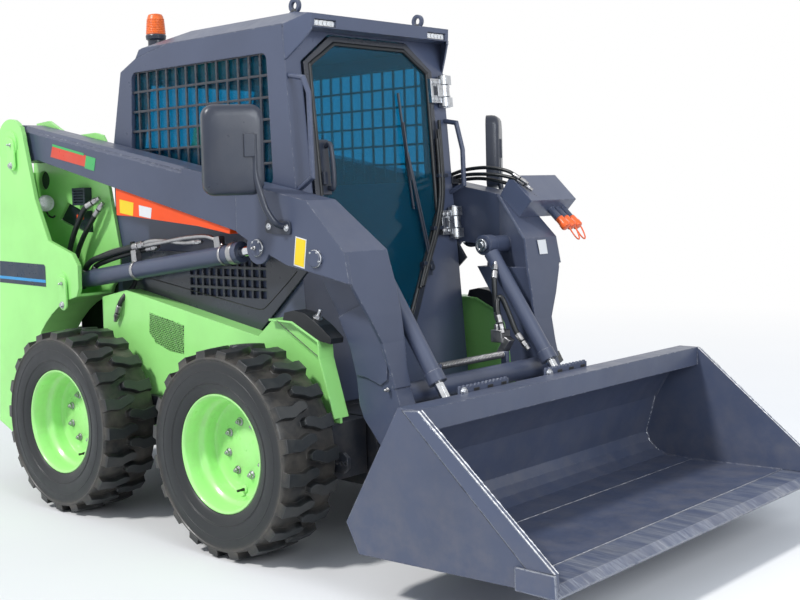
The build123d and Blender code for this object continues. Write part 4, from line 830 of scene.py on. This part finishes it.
# dark sheets of painted shade in the inner plate's openings, in place of the shaded space behind
# them
TOWER_SHADE_SHEETS = {
    "ring": [(-665, 1389), (-563, 1389), (-563, 1491), (-665, 1491)],
    "slot": [(-512, 1256), (-305, 1178), (-208, 1178), (-208, 1302), (-300, 1302), (-424, 1342)],
}


def tower_details(tag, side):
    plates, bolts = Shape(), Shape()
    slant = math.sin(math.radians(4)) * 0.4
    level = math.cos(math.radians(4))
    for x, z, y in ((-600, 1612, 694), (-215, 975, 692)):
        outline = [at(x + 22 + (u * level - v * slant) * MM, side * (y - 8), z - 52 + v * MM)
                   for u, v in rounded_rect(0.058, 0.150, 0.028)]
        plates.prism(outline, Vector((0, side * 0.011, 0)))
        bolts.bolt(at(x + 20, side * (y + 3), z - 102), (0, side, 0), 0.011, 0.011)
        nipple(bolts, at(x + 24, side * (y + 3), z - 6), (0, side, 0))
    plates.make("pin_keepers" + tag, "body_green", "chassis", 0.003)
    bolts.make("keeper_bolts" + tag, "hinge_steel", angle=30)
    for name, radius, ends, points in TOWER_HOSES:
        hose(name + tag, sided(side, points), radius, ends=ends)
    # painted shade: dark sheets behind the inner plate's openings
    for key, outline in TOWER_SHADE_SHEETS.items():
        side_sheet("tower_shade_sheet_" + key + tag, outline, side * 478.3, 1.5, "panel_dark")
    plug = Shape().block(at(-262, side * 536, 1262), (0.035, 0.018, 0.022))
    plug.make("tower_plug" + tag, "lock_orange", "chassis", 0.002)


PANEL_GROOVE = [(90, 1004), (263, 980), (532, 940), (722, 912), (880, 889), (912, 889),
                (940, 900), (1061, 994), (1120, 1044)]


def pad_details(tag, side):
    """Stop pad's stud, and the seams of fender and side panel."""
    seat = at(1292, side * 562, 880)
    up = (0.474, 0, 0.88)
    stud = Shape().bolt(seat, up, 0.013, 0.012)
    stud.lathe([(0.008, 0.0075), (0.034, 0.0075), (0.036, 0.006)], seat, up, 16)
    stud.make("pad_stud" + tag, "hinge_steel", angle=30)
    fender = [at(x, side * 600.6, z) for x, z in ((1112, 864), (1122, 858), (1326, 744))]
    panel = smooth_path([at(x, side * 494.6, z) for x, z in PANEL_GROOVE], 4)
    for name, path, radius in (("fender_seam", fender, 0.0016), ("panel_seam", panel, 0.0019)):
        Shape().tube(path, radius, 6).make(name + tag, "grease_black", angle=60)


VENT_PITCH = 11.5
VENT_BAR = 2.4  # half a bar's breadth
VENT_EDGE = [(285, 851), (516, 808), (509, 690), (417, 696), (336, 722), (281, 762)]


def clipped(start, ahead, outline):
    """Part of a line that lies inside a convex outline, as two lengths along it."""
    low, high = -math.inf, math.inf
    for (x0, z0), (x1, z1) in zip(outline, outline[1:] + outline[:1]):
        out = Vector((z0 - z1, x1 - x0))
        reach = -out.dot(start - Vector((x0, z0))) / out.dot(ahead)
        if out.dot(ahead) > 0:
            high = min(high, reach)
        else:
            low = max(low, reach)
    return low, high


def vent_mesh(tag, side):
    """Fine slanted mesh over the side skin's vent, on a dark sheet of painted shade in place of the
    shaded space behind it.
    """
    # black sheet of painted shade under the mesh, standing in for the vent opening's shaded inside
    side_sheet("vent_shade_sheet" + tag, VENT_EDGE, side * 572.2, 0.6, "grease_black")
    bars = Shape()
    for tilt in (36, -52):
        ahead = Vector((math.cos(math.radians(tilt)), math.sin(math.radians(tilt))))
        across = Vector((-ahead.y, ahead.x))
        for number in range(-16, 17):
            start = Vector((400, 770)) + across * (number * VENT_PITCH)
            low, high = clipped(start, ahead, VENT_EDGE)
            if high - low < 6:  # too short to weld in
                continue
            ends = [(low, -1), (high, -1), (high, 1), (low, 1)]
            points = [start + ahead * s + across * (w * VENT_BAR) for s, w in ends]
            face = [at(p.x, side * 572.4, p.y) for p in points]
            bars.prism(face, Vector((0, side * 0.0014, 0)))
    bars.make("vent_mesh" + tag, "body_green")


SIDE_PIECES = (vent_mesh, mirror_piece, cylinder_details, arm_details, tower_details, pad_details)
for tag, side in SIDES.items():
    for build in SIDE_PIECES:
        build(tag, side)
lamp_piece()
beacon_piece()


# ---- stickers and plates, all blank ------------------------------
# name, y, thickness, material, body, (x, z) corners
STICKERS = [
    ("tower_stripe", 680.2, 0.8, "plate_blue", "chassis",
     [(-742, 1060), (-356, 1050), (-345, 1040), (-345, 948), (-750, 957)]),
    ("tower_band", 681.1, 0.3, "band_blue", "chassis",
     [(-747, 990), (-345, 980), (-345, 966), (-749, 976)]),
    ("beam_label", 640.2, 0.5, "label_red", ARM,
     [(-306, 1592), (16, 1522), (2, 1474), (-326, 1540)]),
    ("beam_label_edge", 640.8, 0.3, "label_green", ARM,
     [(-306, 1598), (-60, 1545), (-60, 1534), (-308, 1587)]),
    ("beam_label_end", 640.8, 0.4, "label_green", ARM,
     [(-42, 1535), (30, 1519), (14, 1464), (-58, 1480)]),
    ("elbow_label_rim", 655.2, 0.3, "sticker_white", ARM,
     [(1284, 1186), (1341, 1174), (1327, 1068), (1270, 1080)]),
    ("elbow_label", 655.6, 0.4, "sticker_yellow", ARM,
     [(1288, 1181), (1337, 1171), (1323, 1073), (1274, 1084)]),
]
for tag, side in SIDES.items():
    for name, y, *rest, corners in STICKERS:
        side_sheet(name + tag, corners, side * y, *rest)
LOCK_LABELS = {
    "yellow": [(176, 1338), (276, 1322), (268, 1266), (176, 1280)],
    "white": [(312, 1312), (400, 1298), (392, 1254), (312, 1266)],
}
for tint, corners in LOCK_LABELS.items():
    side_sheet("lock_label_" + tint, corners, -628.2, 0.4, "sticker_" + tint, ARM)
lift = Vector((0.985, 0, 0.17)) * 0.0012
corners = [at(1530.6, 505, 1120), at(1530.6, 566, 1120), at(1541, 566, 1060), at(1541, 508, 1060)]
Shape().prism(corners, lift, lift * 0.4).make("far_label", "sticker_white", ARM)


# ---- front hoses, couplers and hook plates -----------------------
COUPLER_HOSES = {
    "a": [(1064, 516, 1380), (1120, 500, 1396), (1210, 492, 1404), (1330, 498, 1398),
          (1420, 512, 1378), (1462, 530, 1348)],
    "b": [(1090, 530, 1374), (1160, 520, 1384), (1250, 514, 1384), (1340, 520, 1368),
          (1410, 536, 1344), (1442, 548, 1318)],
    "c": [(1030, 506, 1388), (1100, 501, 1410), (1180, 497, 1426), (1290, 495, 1430),
          (1390, 500, 1412), (1452, 514, 1374)],
}
TILT_HOSES = {
    "a": [(1452, 316, 1008), (1462, 296, 972), (1470, 286, 920), (1476, 284, 850),
          (1490, 284, 792)],
    "b": [(1520, 258, 784), (1494, 272, 842), (1484, 290, 888), (1500, 295, 892),
          (1528, 296, 840), (1566, 295, 762), (1604, 295, 716)],
}


def coupler_details():
    """Orange caps on the couplers, with their loops, and the hoses behind."""
    caps = Shape()
    ahead = Vector((0.707, 0, -0.707))
    profile = [(-0.02, 0.018), (0.006, 0.019), (0.012, 0.0215), (0.03, 0.0215), (0.034, 0.019),
               (0.036, 0.001)]
    for y in (700, 745, 790):
        caps.lathe(profile, at(1530, y, 1186) - ahead * 0.006, ahead, 24)
    for y in (722.5, 767.5):
        turns = [(math.cos(math.pi * i / 16), math.sin(math.pi * i / 16)) for i in range(17)]
        loop = [at(1542, y + c * 22.5, 1186 - 20 * s) + ahead * (0.028 + 0.045 * s)
                for c, s in turns]
        caps.tube(loop, 0.0032, 8)
    caps.make("coupler_caps", "cap_orange", ARM, angle=40)
    for key, points in COUPLER_HOSES.items():
        hose("coupler_hose_" + key, sided(1, points), 8, ARM)
    clamp = Shape().block(at(1100, 508, 1382), (0.03, 0.07, 0.034))
    clamp.make("coupler_hose_clamp", "frame_dark", ARM, 0.002)


def tilt_hoses():
    """Hoses, manifold and sprung guard hose between the arms' legs."""
    for key, points in TILT_HOSES.items():
        hose("tilt_hose_" + key, sided(1, points), 11, ARM)
    block = Shape().block(at(1506, 272, 742), (0.052, 0.062, 0.05))
    block.block(at(1530, 272, 700), (0.03, 0.04, 0.08), Matrix.Rotation(0.55, 3, "Y"))
    for y in (258, 286):
        block.lathe([(0, 0.0125), (0.022, 0.0125), (0.024, 0.0115)], at(1500, y, 766), (0, 0, 1), 6)
    block.make("manifold", "spring_steel", ARM, 0.002)
    core = smooth_path([at(1545, y, 672) for y in (-196, -60, 80, 200, 240)], 4)
    Shape().tube(core, 0.009, 12).make("guard_hose", "hose_black", ARM, angle=60)
    coils, parts = 46, 12
    spring = []
    for i in range(coils * parts + 1):
        a = math.tau * i / parts
        y = -190 + 425 * i / (coils * parts)
        spring.append(at(1545 + 12.2 * math.cos(a), y, 672 + 12.2 * math.sin(a)))
    coil = Shape().tube(spring, 0.0022, 6)
    coil.make("hose_guard_spring", "spring_steel", ARM, angle=70)
    mounts = Shape()
    for y in (-192, 236):
        mounts.block(at(1554, y, 655), (0.03, 0.016, 0.06))
    mounts.make("guard_mounts", "arm_grey", ARM, 0.001)


def hook_plates():
    """Toothed step plates on the bucket's top edge."""
    for key, start, end in (("right", -583, -310), ("left", -86, 184)):
        teeth = int((end - start) / 21)
        pitch = (end - start) / teeth
        outline = [(start, 652), (start, 684)]
        for i in range(teeth):
            outline += [(start + pitch * (i + share), z)
                        for share, z in ((0.15, 690), (0.5, 690), (0.65, 684), (1, 684))]
        outline.append((end, 652))
        plate = Shape().prism([at(1958, y, z) for y, z in outline], Vector((0.008, 0, 0)))
        plate.make("step_grip_" + key, "arm_grey", "bucket", 0.0008)
        # the slots are thin black marks on the plate: painted shade in place of the openings
        slots = Shape()
        for share in (0.34, 0.62, 0.9):
            slots.block(at(1966.4, start + (end - start) * share, 668), (0.0012, 0.030, 0.014))
        slots.make("grip_slots_" + key, "grease_black", "bucket")
        nut = Shape().bolt(at(1966, start + 22, 668), (1, 0, 0), 0.012, 0.012)
        nut.make("grip_nut_" + key, "hinge_steel", "bucket", angle=30)


def rough_bead(name, corners, y, radius, material, seed, step=0.006):
    """Weld bead or rubbed corner on the bucket: a thin line of uneven breadth.

    It runs through (x, z) corners at y, or through whole points if y is None."""
    points = corners if y is None else [at(x, y, z) for x, z in corners]
    path = []
    for start, end in zip(points, points[1:]):
        count = max(1, round((end - start).length / step))
        path += [start.lerp(end, i / count) for i in range(count)]
    path.append(points[-1])
    draw = random.Random(seed)
    radii = [radius * (0.55 + 0.75 * draw.random()) for _ in path]
    Shape().tube(path, radius, 6, radii).make(name, material, "bucket", angle=60)


SLOPE = [(2051, 665), (2541, 253)]  # the bucket side's sloped edge
BAR = 66  # breadth of the flat bar along it
BACK_LINE = [(2041, 592), (1928, 560), (1914, 537), (1858, 444), (1815, 288), (1829, 252),
             (1856, 224), (1903, 201), (2024, 196), (2400, 206)]


def bucket_details():
    (x0, z0), (x1, z1) = SLOPE
    run = math.dist(*SLOPE)
    ux, uz = (x1 - x0) / run, (z1 - z0) / run
    far = [(x1 + uz * BAR - ux * 70, z1 - ux * BAR - uz * 70),
           (x0 + uz * BAR - 22, z0 - ux * BAR + 44)]
    rubbed = [(x0 + 3, z0 - 1), (x1, z1)]
    for tag, side in SIDES.items():
        # flat bar welded along the sloped edge
        face = [at(x, side * 894, z) for x, z in SLOPE + far]
        bar = Shape().prism(face, Vector((0, side * 0.003, 0)))
        bar.make("edge_bar" + tag, "wear_steel", "bucket", 0.001)
        rough_bead("edge_bar_weld" + tag, far, side * 894.4, 0.0022, "grease_black", 3)
        rough_bead("rubbed_edge_out" + tag, rubbed, side * 896.4, 0.0026, "worn_edge", 11)
        rough_bead("rubbed_edge_in" + tag, rubbed, side * 881, 0.0026, "worn_edge", 11)
        rough_bead("corner_weld" + tag, BACK_LINE, side * 879.4, 0.0042, "weld", 5)
        rough_bead("corner_rub" + tag, BACK_LINE[3:8], side * 878, 0.0026, "worn_edge", 9, 0.009)
    for key, x, z, seed in (("heel", 2024, 196, 21), ("lip", 2404, 206, 22)):
        line = [at(x, y, z) for y in (-878, 878)]
        rough_bead("floor_seam_" + key, line, None, 0.0014, "worn_edge", seed, 0.011)


for build in (coupler_details, tilt_hoses, hook_plates, bucket_details):
    build()


# ---- cab front ---------------------------------------------------
# (y, z, out) of points on the leaning front
DOOR_HOSES = {
    "a": [(398, 1640, 20), (392, 1480, 24), (380, 1330, 26), (338, 1200, 26), (262, 1062, 26),
          (196, 940, 24)],
    "b": [(386, 1600, 20), (379, 1460, 27), (366, 1320, 30), (322, 1190, 30), (246, 1052, 30),
          (186, 936, 24)],
    "c": [(372, 1560, 20), (368, 1440, 22), (354, 1308, 24), (306, 1176, 24), (228, 1036, 24),
          (176, 930, 22)],
}
LEVER = [(-308, 1520, 12), (-308, 1530, 34), (-308, 1500, 42), (-308, 1440, 44), (-308, 1385, 42),
         (-308, 1352, 34), (-308, 1360, 12)]
PANE_CORNERS = [(-122, 826), (122, 826), (347, 1240), (354, 1840), (210, 1930), (-210, 1930),
                (-354, 1840), (-347, 1240)]


def door_hinges():
    cast, leaf = Shape(), Shape()
    knuckle = [(-0.0205, 0.0215), (-0.0190, 0.0250), (0.0190, 0.0250), (0.0205, 0.0215)]
    barrel = [(-0.0255, 0.0225), (-0.0240, 0.0255), (0.0240, 0.0255), (0.0255, 0.0225)]
    for z in (1197, 1765):
        middle = front_point(440, z, 26)
        front_box(cast, 467, z, 11, (0.022, 0.034, 0.136))
        for end in (-1, 1):
            seat = middle + FRONT_UP * (end * 0.0475)
            cast.lathe(knuckle, seat, FRONT_UP, 36)
            pin = [(end * 0.020, 0.012), (end * 0.024, 0.012), (end * 0.026, 0.009)]
            cast.lathe(pin, seat, FRONT_UP, 6)
            front_box(cast, 458, z + end * 47.5, 22, (0.044, 0.034, 0.040))
        for end in (-1, 1):
            cast.bolt(front_point(474, z + end * 20, 22), FRONT_OUT, 0.008, 0.008)
        leaf.lathe(barrel, middle, FRONT_UP, 36)
        front_box(leaf, 408, z, 26, (0.032, 0.050, 0.052))
        front_box(leaf, 388, z, 20, (0.024, 0.078, 0.104))
        for y in (366, 396):
            for end in (-1, 1):
                leaf.bolt(front_point(y, z + end * 36, 32), FRONT_OUT, 0.0085, 0.008)
    cast.make("hinge_castings", "hinge_steel", "chassis", 0.0012)
    leaf.make("hinge_leaves", "hinge_steel", "front_door", 0.0012)


def door_bead():
    """Rubber bead round the pane."""
    path = []
    for (y0, z0), (y1, z1) in zip(PANE_CORNERS, PANE_CORNERS[1:] + PANE_CORNERS[:1]):
        path += [front_point(y0 + (y1 - y0) * t, z0 + (z1 - z0) * t, 6) for t in (0.04, 0.5, 0.96)]
    bead = Shape().tube(smooth_path(path + [path[0]], 4), 0.010, 10)
    bead.make("door_bead", "pad_rubber", "front_door", angle=60)


def wiper_piece():
    """Motor, twin-rod arm and blade."""
    wiper = Shape()
    front_box(wiper, 236, 1004, 13, (0.022, 0.056, 0.052))
    pivot, tip = front_point(262, 1012, 26), front_point(166, 1500, 24)
    for shift in (-0.007, 0.007):
        s = Vector((0, shift, 0))
        wiper.tube([pivot + s, pivot.lerp(tip, 0.5) + s * 0.9, tip + s * 0.4], 0.0045, 8)
    wiper.lathe([(-0.012, 0.015), (0.004, 0.015), (0.007, 0.012)], pivot, FRONT_OUT, 24)
    low, high = front_point(190, 1262, 12), front_point(152, 1748, 12)
    wiper.tube([low, low.lerp(high, 0.5), high], 0.0055, 8)
    proud = Vector((0.008, 0, 0))
    wiper.tube([low.lerp(high, 0.25) + proud, tip, low.lerp(high, 0.75) + proud], 0.004, 8)
    wiper.make("wiper_arm", "black_plastic", "front_door", 0.0006, node="wiper")


def door_lever():
    lever = Shape()
    front_box(lever, -324, 1440, 6, (0.012, 0.062, 0.215))
    lever.tube(smooth_path([front_point(*p) for p in LEVER], 5), 0.0095, 12)
    front_box(lever, -334, 1396, 17, (0.018, 0.022, 0.05))
    lever.make("door_lever", "black_plastic", "front_door", 0.002, node="door_handle")


def door_hoses():
    """Washer and heater tubes clipped along the far edge of the door."""
    for key, points in DOOR_HOSES.items():
        tube = Shape().tube(smooth_path([front_point(*p) for p in points], 6), 0.0075, 12)
        tube.make("door_hose_" + key, "hose_black", "front_door", angle=60)
    clips = Shape()
    for y, z in ((384, 1400), (322, 1176), (236, 1030)):
        front_box(clips, y, z, 20, (0.026, 0.062, 0.016))
    clips.make("door_hose_clips", "black_plastic", "front_door", 0.001)


def lamp_strips():
    """Reflector cells set in the roof's lamps."""
    low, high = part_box("roof_lamps")
    dish = [(0.0018, 0.0085), (0.0005, 0.007), (-0.002, 0.004), (-0.0025, 0.001)]
    for tag, side in SIDES.items():
        centre = Vector((high.x - 0.001, side * (high.y - 0.060), (low.z + high.z) / 2))
        cells = Shape()
        for i in range(5):
            cells.lathe(dish, centre + Vector((0.0004, (i - 2) * 0.0225, 0)), (1, 0, 0), 20)
        cells.make("lamp_cells" + tag, "led_white", angle=60)
        trim = Shape()
        for dz in (-0.012, 0.012):
            trim.block(centre + Vector((0.0008, 0, dz)), (0.003, 0.118, 0.003))
        trim.make("lamp_trim" + tag, "black_plastic")


def eye_collars():
    """Collars under the roof's lifting eyes."""
    rings = Shape()
    for side in SIDES.values():
        nut = at(1023, side * 370, 2052)
        rings.lathe([(-0.004, 0.017), (0.006, 0.015), (0.008, 0.011)], nut, (0, 0, 1), 28)
    rings.make("eye_collars", "frame_dark", angle=40)


for build in (door_hinges, door_bead, wiper_piece, door_lever, door_hoses, lamp_strips,
              eye_collars):
    build()


# ---- seat --------------------------------------------------------
CLOTH_FRAMES = 20
SHRINK = 0.93  # how much of its CAD block a cushion fills before it is puffed
SLACK = 0.004  # how far past its CAD block it may bulge


def apply_modifiers(obj):
    mesh = bpy.data.meshes.new_from_object(obj.evaluated_get(bpy.context.evaluated_depsgraph_get()))
    obj.modifiers.clear()
    old = obj.data
    obj.data = mesh
    bpy.data.meshes.remove(old)


def puff(soft, cap, low, high):
    """Cloth pressure on the cushion, held to cap from rest and to its block."""
    rest = [v.co.copy() for v in soft.data.vertices]
    cloth = soft.modifiers.new("cloth", "CLOTH")
    cloth.settings.use_pressure = True
    cloth.settings.uniform_pressure_force = 4
    cloth.settings.effector_weights.gravity = 0
    cloth.settings.quality = 4
    cloth.point_cache.frame_start = 1
    cloth.point_cache.frame_end = CLOTH_FRAMES
    for number in range(1, CLOTH_FRAMES + 1):
        bpy.context.scene.frame_set(number)
    apply_modifiers(soft)
    bpy.context.scene.frame_set(1)
    for vertex, home in zip(soft.data.vertices, rest):
        move = vertex.co - home
        if move.length > cap:
            vertex.co = home + move.normalized() * cap
        for i in range(3):
            vertex.co[i] = min(max(vertex.co[i], low[i] - SLACK), high[i] + SLACK)


def cushion(node, name, cap, seams):
    """Stuffed cushion: the CAD block shrunk a little, puffed by cloth pressure, then seamed."""
    low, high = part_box(node)
    middle = (low + high) / 2
    soft = linked(node + "_soft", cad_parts[node].data.copy())
    for vertex in soft.data.vertices:
        vertex.co = middle + (vertex.co - middle) * SHRINK
    soft.modifiers.new("weld", "WELD").merge_threshold = 0.0002
    remesh = soft.modifiers.new("remesh", "REMESH")
    remesh.mode = "VOXEL"
    remesh.voxel_size = 0.009
    apply_modifiers(soft)
    puff(soft, cap, low, high)
    for vertex in soft.data.vertices:
        vertex.co += (middle - vertex.co).normalized() * seams(vertex.co, low, high)
    refine = soft.modifiers.new("refine", "SUBSURF")
    refine.levels = 1
    refine.render_levels = 1
    apply_modifiers(soft)
    soft.name = name
    soft.data.materials.clear()
    soft.data.materials.append(MATS["seat_vinyl"])
    soft.data.shade_smooth()
    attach(soft, "chassis")
    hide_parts(node)


def channel(distance, depth):
    """Depth of a stitched seam at a distance from its line."""
    return depth * math.exp(-(distance / 0.008) ** 2)


def base_seams(p, low, high):
    y = abs(p.y - (low.y + high.y) / 2)
    if p.z <= (low.z + high.z) / 2:
        return 0
    cross = channel(p.x - (low.x + (high.x - low.x) * 0.72), 0.007) if y < 0.145 else 0
    return channel(y - 0.145, 0.009) + cross


def back_seams(p, low, high):
    y = abs(p.y - (low.y + high.y) / 2)
    height = high.z - low.z
    cross = sum(channel(p.z - low.z - height * share, 0.006) for share in (0.33, 0.66))
    return channel(y - 0.14, 0.009) + (cross if y < 0.14 else 0)


cushion("seat_cushion", "seat_pad", 0.026, base_seams)
cushion("seat_back", "back_pad", 0.026, back_seams)


# ---- stage -------------------------------------------------------
FLOOR_REACH = 40


def floor_piece():
    """Pale floor that fades into the white behind it, far from the machine."""
    floor = linked("floor", bpy.data.meshes.new("floor"))
    square = ((-1, -1), (1, -1), (1, 1), (-1, 1))
    corners = [(x * FLOOR_REACH, y * FLOOR_REACH, 0) for x, y in square]
    floor.data.from_pydata(corners, [], [(0, 1, 2, 3)])
    g = Graph("floor_pale")
    g.finish(g.mix(g.noise(1.2, 4), (0.80, 0.805, 0.81), (0.84, 0.84, 0.84)), 0.85)
    far = g.add("ShaderNodeVectorMath", {0: g.coords}, operation="LENGTH").outputs["Value"]
    seen = g.add("ShaderNodeLightPath").outputs["Is Camera Ray"]
    glow = g.add("ShaderNodeEmission", {"Color": (1, 1, 1), "Strength": 1.0}).outputs[0]
    fade = g.times(g.fit(far, 3.0, 9.0), seen)
    floor.data.materials.append(g.surface(g.shaders(fade, g.shader.outputs[0], glow)))


def sky():
    """Bluish light all round, seen as white by the camera, in gloss and through glass."""
    world = bpy.data.worlds.new("studio")
    bpy.context.scene.world = world
    world.use_nodes = True
    w = Nodes(world.node_tree)
    w.tree.nodes.clear()
    path = w.add("ShaderNodeLightPath")
    seen = w.most(path.outputs["Is Camera Ray"], path.outputs["Is Glossy Ray"])
    seen = w.most(seen, path.outputs["Is Transmission Ray"])
    light, white = (w.add("ShaderNodeBackground", {"Color": tint, "Strength": strength}).outputs[0]
                    for tint, strength in (((0.80, 0.88, 1.0), 0.56), ((1, 1, 1), 1.0)))
    w.add("ShaderNodeOutputWorld", {"Surface": w.shaders(seen, light, white)})


def lamp(name, kind, energy, place, target, tint, **settings):
    data = bpy.data.lights.new(name, kind)
    data.energy = energy
    data.color = tint
    for key, value in settings.items():
        setattr(data, key, value)
    obj = linked(name, data)
    obj.location = place
    obj.rotation_euler = (Vector(target) - Vector(place)).to_track_quat("-Z", "Y").to_euler()


def camera():
    """The photograph's viewpoint, found from the wheels, the bucket's corners and the lamps."""
    bearing, pitch, roll = (math.radians(a) for a in (44.687, 3.587, -1.600))
    right = Vector((math.cos(bearing), math.sin(bearing), 0))
    level = math.cos(pitch)
    ahead = Vector((-math.sin(bearing) * level, math.cos(bearing) * level, -math.sin(pitch)))
    up = right.cross(ahead)
    axes = (right * math.cos(roll) + up * math.sin(roll),
            up * math.cos(roll) - right * math.sin(roll), -ahead)
    data = bpy.data.cameras.new("camera")
    data.sensor_width = 36
    data.lens = 53.88
    data.shift_x = 0.0929
    data.shift_y = -0.0373
    data.clip_end = 200
    eye = linked("camera", data)
    turn = Matrix(axes).transposed().to_4x4()
    eye.matrix_world = Matrix.Translation(at(4413.23, -3668.01, 1331.76)) @ turn
    bpy.context.scene.camera = eye


floor_piece()
sky()
lamp("key", "SUN", 2.35, (-1.6, -6, 7.5), (0, 0, 0.6), (1, 0.985, 0.965), angle=math.radians(7))
lamp("fill", "AREA", 150, (5.5, -1.5, 3.2), (0.3, 0, 0.9), (0.92, 0.96, 1), shape="DISK", size=3.0)
camera()
bpy.context.scene.view_settings.view_transform = "Standard"
